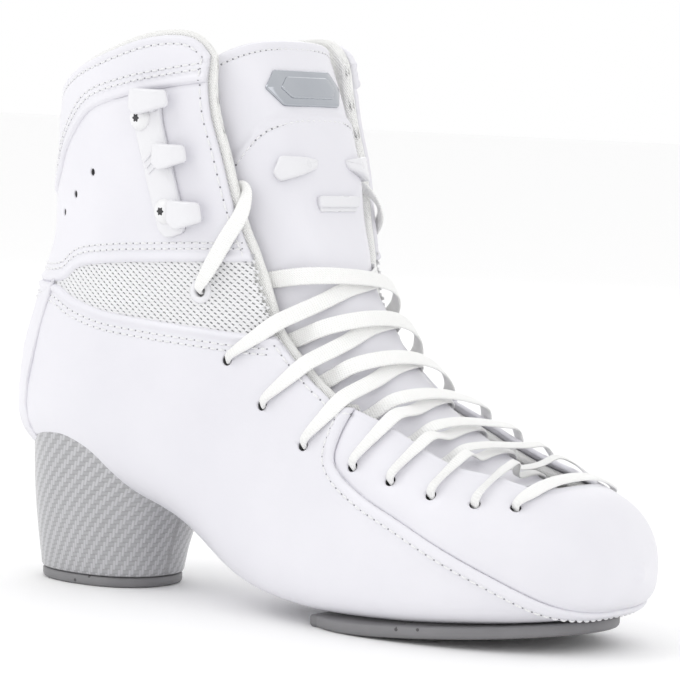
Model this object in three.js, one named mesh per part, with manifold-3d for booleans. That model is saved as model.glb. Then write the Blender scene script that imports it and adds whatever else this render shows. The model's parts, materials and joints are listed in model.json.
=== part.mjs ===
// Right-foot figure-skating boot on its heel and sole plates, ready to take a blade.
// Millimetres, +Z up, +X towards the toe, -Y on the outer (lateral) side, soles on z = 0.
//
// The upper is one boot form: a loft of sections from the collar, round the heel, to the toe.
// Every layer of the upper is a skin of that form between two insets, cut to its panel outline,
// which is drawn in side view. An inset is measured inwards from the outer face of the leather.

import * as THREE from 'three';
import { mergeVertices } from 'three/addons/utils/BufferGeometryUtils.js';
import Module from 'manifold-3d';

const wasm = await Module();
wasm.setup();

// ---------------------------------------------------------------- driving dimensions

const GAP = 0.3; // clearance between two pieces that touch on the real boot
const LEATHER = 2.4; // thickness of the outer leather
const STIFFENER = [2.7, 3.7]; // insets of counter, toe puff and hook backing
const LINING = [4.0, 6.2];
const TONGUE_COVER = [8.9, 10.3];
const TONGUE_FOAM = [10.6, 14.6];
const LINING_EDGE = 2.5; // how far the padded lining shows past the leather edge
const REACH = 70; // half length of every cutting prism along Y

const SOLE_THICKNESS = 4.2;
const HEEL_PLATE_THICKNESS = 3.6;
const TOE_SPRING = { start: 160, rise: 6.5, length: 80, power: 1.3 };

const EYELET_RADIUS = 2.1;
const VENT_RADIUS = 1.3;
const LACE = { width: 6, thickness: 1.1, bunchedWidth: 2.4, bunchedThickness: 1.4, toeNarrowing: 0.13 };

const BOX_MIDDLE = { x: 121.84, y: 2.03 }; // the origin: middle of the bounding box in plan, on the floor
const CUFF_PIVOT = { x: 24, z: 110 };
const TONGUE_PIVOT = { x: 128, z: 130 };

// ---------------------------------------------------------------- boot form

// Each section runs from a front point to a back point of the side profile.
const COLUMNS = ['backX', 'backZ', 'frontX', 'frontZ', 'halfWidth', 'widest', 'frontPower', 'backPower', 'sway'];
const STATIONS = [
  [13, 213, 104, 216, 42.5, 0.44, 2.8, 2.2, 1],
  [8, 190, 111, 203.5, 42, 0.42, 2.8, 2.2, 2],
  [5, 168, 119, 187.5, 41.5, 0.4, 2.8, 2.2, 2],
  [3, 146, 126, 171, 41, 0.4, 2.8, 2.2, 2],
  [2, 124, 131, 156, 40.5, 0.4, 2.8, 2.2, 2],
  [-5, 102, 135, 141, 39.5, 0.42, 2.8, 2.3, 1.5],
  [-9.5, 79, 140, 130, 38.5, 0.46, 2.7, 2.4, 1],
  [-4, 51.5, 145, 120, 37.5, 0.52, 2.6, 2.7, 0],
  [32, 39.5, 152, 110, 37, 0.56, 2.5, 3, 0],
  [74, 27, 160, 98, 38, 0.58, 2.4, 2.9, 0],
  [108, 10, 174, 85, 40.5, 0.6, 2.3, 3.6, 0],
  [142, 5, 192, 73, 43.5, 0.6, 2.2, 5, 1],
  [177, 5.4, 209, 63, 45, 0.6, 2.2, 5.6, 2.5],
  [206, 7.2, 225, 56, 41.5, 0.6, 2.3, 5.2, 4.5],
  [230, 10, 238, 50, 34, 0.6, 2.3, 4.2, 6],
  [246, 14, 246.5, 41.5, 21.5, 0.56, 2.3, 3, 6.5],
  [253, 24.5, 251.5, 31, 4, 0.5, 2.2, 2.2, 6.5],
];
const LAST_STATION = STATIONS.length - 1;
const FORM_STEPS_ALONG = 22;
const FORM_STEPS_AROUND = 22;

function catmullRom(a, b, c, d, t) {
  const rise = (c - a) / 2;
  const fall = (d - b) / 2;
  return (2 * b - 2 * c + rise + fall) * t ** 3 + (3 * c - 3 * b - 2 * rise - fall) * t ** 2 + rise * t + b;
}

function section(u) {
  const i = Math.min(Math.floor(u), LAST_STATION - 1);
  const row = (k) => {
    if (k < 0) return STATIONS[0].map((v, j) => 2 * v - STATIONS[1][j]);
    if (k > LAST_STATION) return STATIONS[LAST_STATION].map((v, j) => 2 * v - STATIONS[LAST_STATION - 1][j]);
    return STATIONS[k];
  };
  const rows = [row(i - 1), row(i), row(i + 1), row(i + 2)];
  const values = COLUMNS.map((_, j) => catmullRom(rows[0][j], rows[1][j], rows[2][j], rows[3][j], u - i));
  return Object.fromEntries(COLUMNS.map((name, j) => [name, values[j]]));
}

// u runs from the collar (0) to the toe; angle is 0 on the shin, +PI/2 lateral, PI on the sole, negative medial.
function formPoint(u, angle) {
  const s = section(THREE.MathUtils.clamp(u, 0, LAST_STATION));
  const cos = Math.cos(angle);
  const sin = Math.sin(angle);
  const power = 2 / (cos >= 0 ? s.frontPower : s.backPower);
  const along = Math.abs(cos) ** power;
  const share = cos >= 0 ? s.widest * (1 - along) : s.widest + (1 - s.widest) * along;
  return new THREE.Vector3(
    s.frontX + (s.backX - s.frontX) * share,
    s.sway - Math.sign(sin) * s.halfWidth * Math.abs(sin) ** power,
    s.frontZ + (s.backZ - s.frontZ) * share,
  );
}

function formNormal(u, angle) {
  const du = 0.02;
  const da = 0.02;
  const alongForm = formPoint(u + du, angle).sub(formPoint(u - du, angle));
  const aroundForm = formPoint(u, angle + da).sub(formPoint(u, angle - da));
  return aroundForm.cross(alongForm).normalize();
}

function onForm(u, angle, inset) {
  return formPoint(u, angle).addScaledVector(formNormal(u, angle), -inset);
}

// Where a point of the side view lies on the form: side is 1 for lateral, -1 for medial.
function locate(x, z, side) {
  let best = { error: Infinity };
  for (let u = 0; u <= LAST_STATION; u += 0.01) {
    const s = section(u);
    const dx = s.backX - s.frontX;
    const dz = s.backZ - s.frontZ;
    const length = Math.hypot(dx, dz);
    const share = ((x - s.frontX) * dx + (z - s.frontZ) * dz) / length ** 2;
    const error = Math.abs((x - s.frontX) * dz - (z - s.frontZ) * dx) / length;
    if (share >= 0 && share <= 1 && error < best.error) best = { error, u, share, s };
  }
  const { u, share, s } = best;
  const angle = share < s.widest
    ? Math.acos((1 - share / s.widest) ** (s.frontPower / 2))
    : Math.PI - Math.acos(((share - s.widest) / (1 - s.widest)) ** (s.backPower / 2));
  return { u, angle: side * angle };
}

// ---------------------------------------------------------------- solids

function toSolid(geometry) {
  geometry.deleteAttribute('normal');
  geometry.deleteAttribute('uv');
  const merged = mergeVertices(geometry, 1e-4);
  return new wasm.Manifold(new wasm.Mesh({
    numProp: 3,
    vertProperties: new Float32Array(merged.attributes.position.array),
    triVerts: new Uint32Array(merged.index.array),
  }));
}

function toGeometry(solid) {
  const { vertProperties, triVerts } = solid.getMesh();
  const geometry = new THREE.BufferGeometry();
  geometry.setAttribute('position', new THREE.BufferAttribute(new Float32Array(vertProperties), 3));
  geometry.setIndex(new THREE.BufferAttribute(new Uint32Array(triVerts), 1));
  geometry.computeVertexNormals();
  return geometry;
}

// A closed skin through rings of points, all with the same count, capped by a fan at each end.
function ringSolid(rings) {
  const count = rings[0].length;
  const positions = rings.flat().flatMap((p) => [p.x, p.y, p.z]);
  const middle = (ring) => ring.reduce((sum, p) => sum.add(p), new THREE.Vector3()).divideScalar(count);
  const first = rings.length * count;
  for (const p of [middle(rings[0]), middle(rings.at(-1))]) positions.push(p.x, p.y, p.z);
  const index = [];
  for (let i = 0; i < count; i++) {
    const j = (i + 1) % count;
    for (let r = 0; r < rings.length - 1; r++) {
      const a = r * count;
      const b = a + count;
      index.push(a + i, a + j, b + j, a + i, b + j, b + i);
    }
    const end = (rings.length - 1) * count;
    index.push(first, j, i, first + 1, end + i, end + j);
  }
  const geometry = new THREE.BufferGeometry();
  geometry.setAttribute('position', new THREE.Float32BufferAttribute(positions, 3));
  geometry.setIndex(index);
  return toSolid(geometry);
}

const formSolids = new Map();

function formSolid(inset) {
  if (!formSolids.has(inset)) {
    const rings = [];
    for (let r = 0; r <= FORM_STEPS_ALONG; r++) {
      const u = (r / FORM_STEPS_ALONG) * LAST_STATION;
      const ring = [];
      for (let i = 0; i < FORM_STEPS_AROUND; i++) {
        ring.push(onForm(u, (i / FORM_STEPS_AROUND) * 2 * Math.PI, inset));
      }
      rings.push(ring);
    }
    formSolids.set(inset, ringSolid(rings));
  }
  return formSolids.get(inset);
}

function skin(outer, inner) {
  return formSolid(outer).subtract(formSolid(inner));
}

const vectors = (points) => points.map(([x, y]) => new THREE.Vector2(x, y));
const plain = (points) => points.map((p) => [p.x, p.y]);

function smooth(points, stepsPerPoint = 2) {
  return plain(new THREE.SplineCurve(vectors(points)).getPoints((points.length - 1) * stepsPerPoint));
}

// Moves a side-view line to its left, seen along its own direction.
function shifted(points, distance) {
  return points.map(([x, y], i) => {
    const [ax, ay] = points[Math.max(i - 1, 0)];
    const [bx, by] = points[Math.min(i + 1, points.length - 1)];
    const length = Math.hypot(bx - ax, by - ay);
    return [x - (distance * (by - ay)) / length, y + (distance * (bx - ax)) / length];
  });
}

function prism(outline, depth) {
  const geometry = new THREE.ExtrudeGeometry(new THREE.Shape(vectors(outline)), {
    depth,
    bevelEnabled: false,
  });
  return geometry;
}

// A prism along Y over a side-view outline; side picks the lateral half, the medial half or both (0).
function sidePrism(outline, side = 0) {
  const depth = side === 0 ? 2 * REACH : REACH;
  const geometry = prism(outline, depth).rotateX(Math.PI / 2);
  return toSolid(geometry.translate(0, side > 0 ? 0 : REACH, 0));
}

// A prism along Z over a plan outline.
function planPrism(outline, low, high) {
  return toSolid(prism(outline, high - low).translate(0, 0, low));
}

// A prism along X over a front-view outline given as [y, z].
function frontPrism(outline, low, high) {
  return toSolid(prism(outline, high - low).rotateX(Math.PI / 2).rotateZ(Math.PI / 2).translate(low, 0, 0));
}

// The matrix that stands a piece's +Z on the form's outward normal at a side-view point.
function standOn(x, z, side, inset) {
  const { u, angle } = locate(x, z, side);
  const normal = formNormal(u, angle);
  const turn = new THREE.Quaternion().setFromUnitVectors(new THREE.Vector3(0, 0, 1), normal);
  return new THREE.Matrix4().compose(onForm(u, angle, inset), turn, new THREE.Vector3(1, 1, 1));
}

function drill(x, z, side, radius, from, to) {
  const length = to - from;
  const geometry = new THREE.CylinderGeometry(radius, radius, length, 6).rotateX(Math.PI / 2);
  return toSolid(geometry.applyMatrix4(standOn(x, z, side, (from + to) / 2)));
}

// A closed turned profile, given as [radius, height], on the form's normal.
function turned(profile, steps, x, z, side, inset) {
  const geometry = new THREE.LatheGeometry(vectors(profile), steps).rotateX(Math.PI / 2);
  return toSolid(geometry.applyMatrix4(standOn(x, z, side, inset)));
}

// ---------------------------------------------------------------- panel lines in side view

const FACING = [
  [95.2, 193], [94.8, 183.5], [96.6, 172.6], [101.6, 158.3], [108.4, 137.3], [114.7, 122.5], [121, 106],
  [124.7, 98.4], [133.4, 90.1], [140.2, 84.5], [147.3, 79.7], [153.6, 76.1], [159.2, 75.9],
];
const THROAT = [[174.5, 70.4], [186.2, 65], [198.2, 60.4], [211.3, 57.7], [226, 54.5], [232, 58]];
const MEDIAL_LEAD = { high: 9, low: 6, highZ: 165, lowZ: 98, endX: 160 };
const COLLAR = [
  [-30, 171], [4, 171.5], [15, 179.5], [30, 186.5], [46.5, 191.8], [71, 198.4], [86, 199.1], [91.3, 197], [95.2, 193],
];
const BAND = [
  [-20, 137], [3, 138.5], [15.4, 146.1], [23, 157.2], [30.4, 164.7], [40.6, 172.1], [62.2, 178], [78.3, 180.9],
  [95, 183.6], [120, 186],
];
const CUFF_HEM = [
  [-30, 110.5], [CUFF_PIVOT.x + 1.4, 110.5], [35.5, 115.8], [51.4, 118.3], [75.7, 120.2], [114.7, 122.5], [140, 124],
];
const QUARTER_TOP = [
  [-30, 108.3], [CUFF_PIVOT.x - 2.2, 108.8], [33.7, 104.9], [49.8, 101.5], [68.4, 100], [90.9, 98.8], [111.5, 97.8],
  [126, 97.4], [140, 97.2],
];
const VAMP_SEAM = [
  [162, 84], [158.9, 75.8], [156.6, 66.4], [156.4, 59.1], [160, 54.5], [171, 47.9], [190.1, 40.1], [210.4, 30.5],
  [227.5, 22.1], [237.8, 16.7], [246.4, 12.8], [256, 6],
];
const BACKSTAY = [[21.5, 111], [16.1, 106.8], [9.6, 103], [5, 95.3], [1.3, 88], [-1, 78], [-1.5, 66], [2, 44]];
const FLOOR_LINE = [
  [-40, 64], [0, 61], [34, 52], [74, 37.5], [108, 20.5], [142, 15], [177, 15], [206, 16], [232, 19], [270, 25],
];
const TONGUE_EDGE = [
  [80, 200], [83.5, 172], [89, 158], [96, 137], [103, 122], [110, 106], [117, 93], [130, 82], [146, 72], [165, 64],
  [190, 54], [214, 46],
];

const FAR = 400;
const above = (line) => [...line, [line.at(-1)[0], FAR], [line[0][0], FAR]];
const below = (line) => [...line, [line.at(-1)[0], -FAR], [line[0][0], -FAR]];

// How far the medial facing stands forward of the lateral one at a point of the facing line.
function medialLead([x, z]) {
  const { high, low, highZ, lowZ, endX } = MEDIAL_LEAD;
  if (z >= lowZ) return THREE.MathUtils.mapLinear(Math.min(z, highZ), lowZ, highZ, low, high);
  return Math.max(THREE.MathUtils.mapLinear(x, 124.7, endX, low, 0), 0);
}

// The edge of the opening from the collar down to the end of the throat, moved outwards by extra.
function openingLine(side, extra, extraInThroat = extra) {
  const led = (line) => line.map(([x, z]) => [side < 0 ? x + medialLead([x, z]) : x, z]);
  const [facing, throat] = [led(FACING.slice(0, -1)), led([FACING.at(-1), ...THROAT])];
  return smooth([...shifted(facing, extra), ...shifted(throat, extraInThroat)]);
}

// Everything behind and below the opening line.
function upperRegion(extra, extraInThroat = extra) {
  const half = (side) => {
    const line = openingLine(side, extra, extraInThroat);
    return sidePrism([[line[0][0], 230], ...line, [300, 58], [300, -30], [-60, -30], [-60, 230]], side);
  };
  return half(1).add(half(-1));
}

function collarRegion(extra) {
  const half = (side) => {
    const rim = COLLAR.map(([x, z]) => [side < 0 && x > 46.5 ? x + 9 * ((x - 46.5) / 48.7) : x, z]);
    const line = shifted(smooth(rim), extra);
    const [endX, endZ] = line.at(-1);
    return sidePrism([...line, [endX + 3, endZ - 8], [330, endZ - 8], [330, -30], [-60, -30], [-60, 171 + extra]], side);
  };
  return half(1).add(half(-1));
}

// ---------------------------------------------------------------- materials

function finish(color, roughness, metalness = 0) {
  return new THREE.MeshStandardMaterial({ color, roughness, metalness });
}

const leather = finish(0xf2f2f5, 0.45);
const liningCloth = finish(0xf0f0e8, 0.85);
const meshCloth = finish(0xe4e5e8, 0.8);
const whitePlastic = finish(0xf0f0f2, 0.4);
const stiffBoard = finish(0xb59b78, 0.8);
const foam = finish(0xe8e6df, 0.9);
const carbon = finish(0x8d9092, 0.35, 0.2);
const greyPlastic = finish(0x98969a, 0.5);
const chrome = finish(0xb8bcc4, 0.15, 1);
const steel = finish(0x9a9ca0, 0.35, 1);
const laceCloth = finish(0xf4f4ee, 0.85);
const clearPlastic = finish(0xe6e6e2, 0.25);

const boot = new THREE.Group();

function addPiece(name, solid, material) {
  const piece = new THREE.Mesh(toGeometry(solid), material);
  piece.name = name;
  boot.add(piece);
}

// ---------------------------------------------------------------- heel and sole

function superOval({ cx, cy, a, b }, z, squareness = 2.3, steps = 24) {
  const ring = [];
  for (let i = 0; i < steps; i++) {
    const angle = (i / steps) * 2 * Math.PI;
    const c = Math.cos(angle);
    const s = Math.sin(angle);
    ring.push(new THREE.Vector3(
      cx + a * Math.sign(c) * Math.abs(c) ** (2 / squareness),
      cy + b * Math.sign(s) * Math.abs(s) ** (2 / squareness),
      z,
    ));
  }
  return ring;
}

const HEEL_SECTIONS = [
  { z: HEEL_PLATE_THICKNESS + GAP, cx: 30.3, cy: -2.8, a: 26.6, b: 22.6 },
  { z: 16, cx: 30.6, cy: -2.6, a: 28.6, b: 24.6 },
  { z: 30, cx: 32.2, cy: -2, a: 31.8, b: 27.4 },
  { z: 44, cx: 36, cy: -1.4, a: 36.6, b: 30 },
  { z: 60, cx: 41, cy: -1, a: 42.4, b: 32 },
];

function heelBlock() {
  const block = ringSolid(HEEL_SECTIONS.map((section) => superOval(section, section.z)));
  return block.subtract(formSolid(-GAP));
}

function heelPlate() {
  const bottom = HEEL_SECTIONS[0];
  return ringSolid([superOval(bottom, 0), superOval(bottom, HEEL_PLATE_THICKNESS)]);
}

const SOLE_OUTLINE = [
  [148, -33], [159, -37.5], [175, -38.5], [195, -36], [214, -30], [230, -19], [239, -6], [241, 8], [236, 21],
  [224, 32], [206, 39], [185, 41], [165, 39], [149, 33],
];

function toeSpring(x) {
  const share = Math.max(x - TOE_SPRING.start, 0) / TOE_SPRING.length;
  return TOE_SPRING.rise * share ** TOE_SPRING.power;
}

function solePlate() {
  const profile = [];
  for (const x of [140, 160, 172, 184, 196, 208, 222, 236, 250]) profile.push([x, toeSpring(x)]);
  const top = profile.map(([x, z]) => [x, z + SOLE_THICKNESS]).reverse();
  const outline = [[146, -29], ...smooth(SOLE_OUTLINE, 2), [146, 29]];
  return sidePrism([...profile, ...top]).intersect(planPrism(outline, -1, 40)).subtract(formSolid(-GAP));
}

addPiece('heel_plate', heelPlate(), greyPlastic);
addPiece('heel_block', heelBlock(), carbon);
addPiece('sole_plate', solePlate(), greyPlastic);

// ---------------------------------------------------------------- eyelets, vents and hooks

const EYELETS = [
  [107.1, 88.2], [123.8, 74.1], [143.2, 62.2], [164.1, 57.2], [179.6, 54], [195.6, 50.9], [210.7, 49.3], [222.7, 49],
];
const RING_EYELET = [94.7, 111.2];
const VENTS = [[42, 150.1], [30.9, 141.7], [22.1, 134.8]];
const HOOK_SCREWS = [[69.1, 170.3], [80.7, 138.3]];
const HOOK_PLATE = [
  [60.2, 178.6], [76.3, 131.4], [80, 128.5], [87.6, 131], [88.5, 134.5], [82, 154], [76.8, 170], [76, 179.6],
];
const HOOKS = [
  { rear: 63.4, front: 83.6, low: 173, high: 180, lean: 1.2 },
  { rear: 76.4, front: 91.6, low: 154.2, high: 161.4, lean: 1.2 },
  { rear: 83.2, front: 98.6, low: 134.8, high: 142.6, lean: 2 },
];
const HOOK_HEIGHT = { plate: 2.3, underside: 3.9, top: 6.6 };

function punch(solid, points, radius, from, to) {
  let result = solid;
  for (const side of [1, -1]) {
    for (const [x, z] of points) result = result.subtract(drill(x, z, side, radius, from, to));
  }
  return result;
}

const drillUpper = (solid, points, radius) => punch(solid, points, radius, -4, 10);

// ---------------------------------------------------------------- panels of the upper

const leatherSkin = skin(0, LEATHER).intersect(upperRegion(0)).intersect(collarRegion(0));
const belowCuff = sidePrism([...smooth(QUARTER_TOP), [330, 97.2], [330, -30], [-60, -30]]);
const aboveHem = sidePrism(above(smooth(CUFF_HEM)));
const belowBand = sidePrism(below(shifted(smooth(BAND), -GAP)));
const aboveBand = sidePrism(above(smooth(BAND)));
const seam = smooth(VAMP_SEAM);
const vampSide = (distance) => [...shifted(seam, distance), [330, 6], [330, 84]];
const backstayLine = smooth(BACKSTAY);
const behindBackstay = [...backstayLine, [-40, 44], [-40, 111]];
const aroundBackstay = [...shifted(backstayLine, GAP), [2, 40], [-40, 40], [-40, 111]];

const lowerLeather = leatherSkin.intersect(belowCuff);
const quarter = lowerLeather.subtract(sidePrism(vampSide(-GAP))).subtract(sidePrism(aroundBackstay));
addPiece('quarter_shell', drillUpper(quarter, EYELETS.slice(0, 3), EYELET_RADIUS), leather);
addPiece('backstay', lowerLeather.intersect(sidePrism(behindBackstay)), leather);
const vamp = leatherSkin.intersect(sidePrism(vampSide(0)));
addPiece('vamp_panel', drillUpper(vamp, EYELETS.slice(3), EYELET_RADIUS), leather);

const halfSpace = (side) => sidePrism([[-60, -30], [330, -30], [330, 240], [-60, 240]], side).translate(0, -side * GAP / 2, 0);
const sideNames = { lateral: 1, medial: -1 };
const cuffLeather = leatherSkin.intersect(aboveHem).intersect(belowBand);
for (const [name, side] of Object.entries(sideNames)) {
  const piece = cuffLeather.intersect(halfSpace(side));
  const vented = drillUpper(piece, VENTS, VENT_RADIUS);
  addPiece(`cuff_quarter_${name}`, drillUpper(vented, HOOK_SCREWS, 1.9), leather);
}
addPiece('collar_band', leatherSkin.intersect(aboveBand), leather);

// ---------------------------------------------------------------- stiffeners, lining and footbed

const aboveFloor = sidePrism(above(smooth(FLOOR_LINE)));
const belowFloor = sidePrism(below(shifted(smooth(FLOOR_LINE), -2 * GAP)));
const liningRegion = upperRegion(LINING_EDGE, -4); // trimmed back under the leather along the throat
const lining = skin(...LINING).intersect(liningRegion);
const lowerLining = lining.intersect(belowCuff).intersect(aboveFloor);
addPiece('lower_lining', drillUpper(lowerLining, EYELETS, EYELET_RADIUS), liningCloth);
const cuffLining = lining.intersect(collarRegion(1.8)).intersect(aboveHem);
addPiece('cuff_lining', drillUpper(cuffLining, VENTS, VENT_RADIUS), liningCloth);

const stiffenerSkin = skin(...STIFFENER).intersect(aboveFloor);
const counterOutline = [[-40, 40], [78, 20], [86, 48], [70, 74], [40, 90], [20, 96], [-40, 98]];
addPiece('heel_counter', stiffenerSkin.intersect(sidePrism(counterOutline)), stiffBoard);
addPiece('toe_puff', stiffenerSkin.intersect(sidePrism([[233, -10], [240, 80], [300, 80], [300, -10]])), stiffBoard);

addPiece('lasting_board', skin(STIFFENER[0], 5).intersect(belowFloor), stiffBoard);
addPiece('footbed', skin(5 + GAP, 9).intersect(belowFloor), foam);

// ---------------------------------------------------------------- ankle gussets

const aheadOfPivot = ([x]) => x > CUFF_PIVOT.x + 2;
const gussetOutline = [
  ...smooth(CUFF_HEM).filter(aheadOfPivot).map(([x, z]) => [x, z - 1.5 * GAP]),
  ...smooth(QUARTER_TOP).filter(aheadOfPivot).map(([x, z]) => [x, z + 1.5 * GAP]).reverse(),
];
const gussetSkin = skin(0.6, LINING[1]).intersect(upperRegion(LINING_EDGE - 1));
for (const [name, side] of Object.entries(sideNames)) {
  const panel = gussetSkin.intersect(sidePrism(gussetOutline, side));
  const [x, z] = RING_EYELET;
  addPiece(`gusset_mesh_${name}`, panel.subtract(drill(x, z, side, 2.4, -4, 10)), meshCloth);
  const ring = [[1.9, 0], [4.3, 0], [4.1, 0.7], [2.4, 1], [1.9, 0]];
  addPiece(`eyelet_ring_${name}`, turned(ring, 12, x, z, side, 0.3), whitePlastic);
}

// ---------------------------------------------------------------- hook plates and screws

function hookPlate(side) {
  const { plate, underside, top } = HOOK_HEIGHT;
  let result = skin(-plate, -GAP).intersect(sidePrism(HOOK_PLATE, side));
  for (const { rear, front, low, high, lean } of HOOKS) {
    const outline = [[rear, low], [front - 2.5, low - lean], [front, low + 1.5], [front - 1, high], [rear, high]];
    const stem = [[rear, low], [front - 6, low - 0.6 * lean], [front - 6, high], [rear, high]];
    const cap = skin(-top, -underside).intersect(sidePrism(outline, side));
    const neck = skin(-underside - 0.2, -plate + 0.2).intersect(sidePrism(stem, side));
    result = result.add(neck).add(cap);
  }
  for (const [x, z] of HOOK_SCREWS) result = result.subtract(drill(x, z, side, 1.9, -3, 1));
  for (const [x, z] of HOOK_SCREWS) result = result.subtract(drill(x, z, side, 4.4, -9, -2.3));
  return result;
}

const SCREW_PROFILE = [[0, -6], [1.5, -6], [1.5, 0], [3.5, 0], [3.2, 1], [2.1, 1.8], [0, 2]];
const screwSocket = new THREE.CylinderGeometry(1.1, 1.1, 2.4, 6).rotateX(Math.PI / 2);

function hookScrew(x, z, side) {
  const seat = -HOOK_HEIGHT.plate - GAP;
  const screw = turned(SCREW_PROFILE, 10, x, z, side, seat);
  const socket = toSolid(screwSocket.clone().applyMatrix4(standOn(x, z, side, seat - 2)));
  return screw.subtract(socket);
}

const BACKING = [[62, 176], [77, 130], [85, 132], [80, 152], [73, 176]];
for (const [name, side] of Object.entries(sideNames)) {
  addPiece(`hook_plate_${name}`, hookPlate(side), whitePlastic);
  const backing = skin(...STIFFENER).intersect(sidePrism(BACKING, side));
  addPiece(`hook_backing_${name}`, punch(backing, HOOK_SCREWS, 1.9, 0, 6), steel);
  addPiece(`hook_screw_${name}_upper`, hookScrew(...HOOK_SCREWS[0], side), whitePlastic);
  addPiece(`hook_screw_${name}_lower`, hookScrew(...HOOK_SCREWS[1], side), whitePlastic);
}

// ---------------------------------------------------------------- tongue

const TONGUE_HALF_WIDTH = 26.5;
const TONGUE_TOP = [[70, 175.4], [106.5, 199.8], [130, 203]];
const TONGUE_MIDDLE = 1;
const TONGUE_TAPER = 6.4; // how far each side draws in towards the top

function tongueBand(line, halfWidth) {
  const region = sidePrism([...smooth(line), [300, 46], [300, 230], [80, 230]]);
  const low = TONGUE_MIDDLE - halfWidth;
  const high = TONGUE_MIDDLE + halfWidth;
  const taper = TONGUE_TAPER;
  const width = frontPrism([[low, 0], [high, 0], [high, 160], [high - taper, 205], [low + taper, 205], [low, 160]], 60, 260);
  return region.intersect(width);
}

const tongueRegion = tongueBand(TONGUE_EDGE, TONGUE_HALF_WIDTH);
const padRegion = tongueBand(shifted(TONGUE_EDGE, 2), TONGUE_HALF_WIDTH - 5);
const { x: foldX, z: foldZ } = TONGUE_PIVOT;
const tongueLower = sidePrism([[60, foldZ - 4], [foldX, foldZ - 1], [160, foldZ - 0.6], [330, foldZ], [330, -30], [60, -30]]);
const tongueUpper = sidePrism([[60, foldZ], [foldX, foldZ], [160, foldZ], [160, 230], [60, 230]]);
const belowTongueTop = sidePrism(below(TONGUE_TOP));

addPiece('tongue_lower', skin(...TONGUE_COVER).intersect(tongueRegion).intersect(tongueLower), leather);
const upperCut = tongueUpper.intersect(belowTongueTop);
addPiece('tongue_cover', skin(...TONGUE_COVER).intersect(tongueRegion).intersect(upperCut), leather);
addPiece('tongue_padding', skin(...TONGUE_FOAM).intersect(padRegion).intersect(upperCut), liningCloth);

function tongueRaised(outline, height) {
  return skin(TONGUE_COVER[0] - GAP - height, TONGUE_COVER[0] - GAP).intersect(frontPrism(outline, 95, 150));
}

const GUIDE = [[-23.7, 153.2], [-21.7, 158.9], [-7.7, 158], [-9, 155], [-22.6, 150.1]];
const mirrorGuide = GUIDE.map(([y, z]) => [-y, z]).reverse();
const fromMiddle = (outline) => outline.map(([y, z]) => [y + TONGUE_MIDDLE, z]);
const EMBLEM = [[-20, 182.6], [-15, 189], [15, 189], [20, 182.6], [15, 176.6], [-15, 176.6]];
const KEEPER = [[-11, 141.4], [-10.6, 145], [10.6, 145], [9, 141.4]];
addPiece('tongue_guide_lateral', tongueRaised(fromMiddle(GUIDE), 3), whitePlastic);
addPiece('tongue_guide_medial', tongueRaised(fromMiddle(mirrorGuide), 3), whitePlastic);
addPiece('tongue_keeper', tongueRaised(fromMiddle(KEEPER), 2.4), whitePlastic);
addPiece('tongue_emblem', tongueRaised(fromMiddle(EMBLEM), 1.2), chrome);

// ---------------------------------------------------------------- laces

// A flat lace through points, each with the direction of its width and its width and thickness.
function ribbon(stops) {
  const rings = stops.map(({ point, across, width, thickness }, i) => {
    const before = stops[Math.max(i - 1, 0)].point;
    const after = stops[Math.min(i + 1, stops.length - 1)].point;
    const tangent = after.clone().sub(before).normalize();
    const w = across.clone().addScaledVector(tangent, -across.dot(tangent)).normalize();
    const n = tangent.clone().cross(w);
    const corner = (a, b) => point.clone().addScaledVector(w, (a * width) / 2).addScaledVector(n, (b * thickness) / 2);
    return [corner(-1, -1), corner(1, -1), corner(1, 1), corner(-1, 1)];
  });
  return ringSolid(rings);
}

const UNDER = 7.55; // inset of a lace between lining and tongue
const OVER = -(GAP + LACE.thickness / 2); // inset of a lace lying on the leather

function insideOutline(x, y, outline) {
  let inside = false;
  outline.forEach(([ax, ay], i) => {
    const [bx, by] = outline[(i + 1) % outline.length];
    if (ay > y !== by > y && x < ((bx - ax) * (y - ay)) / (by - ay) + ax) inside = !inside;
  });
  return inside;
}

const openings = Object.fromEntries([1, -1].map((side) => {
  const line = openingLine(side, LINING_EDGE + 0.6);
  return [side, [...line, [300, 60], [300, 260], [90, 260]]];
}));

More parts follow.
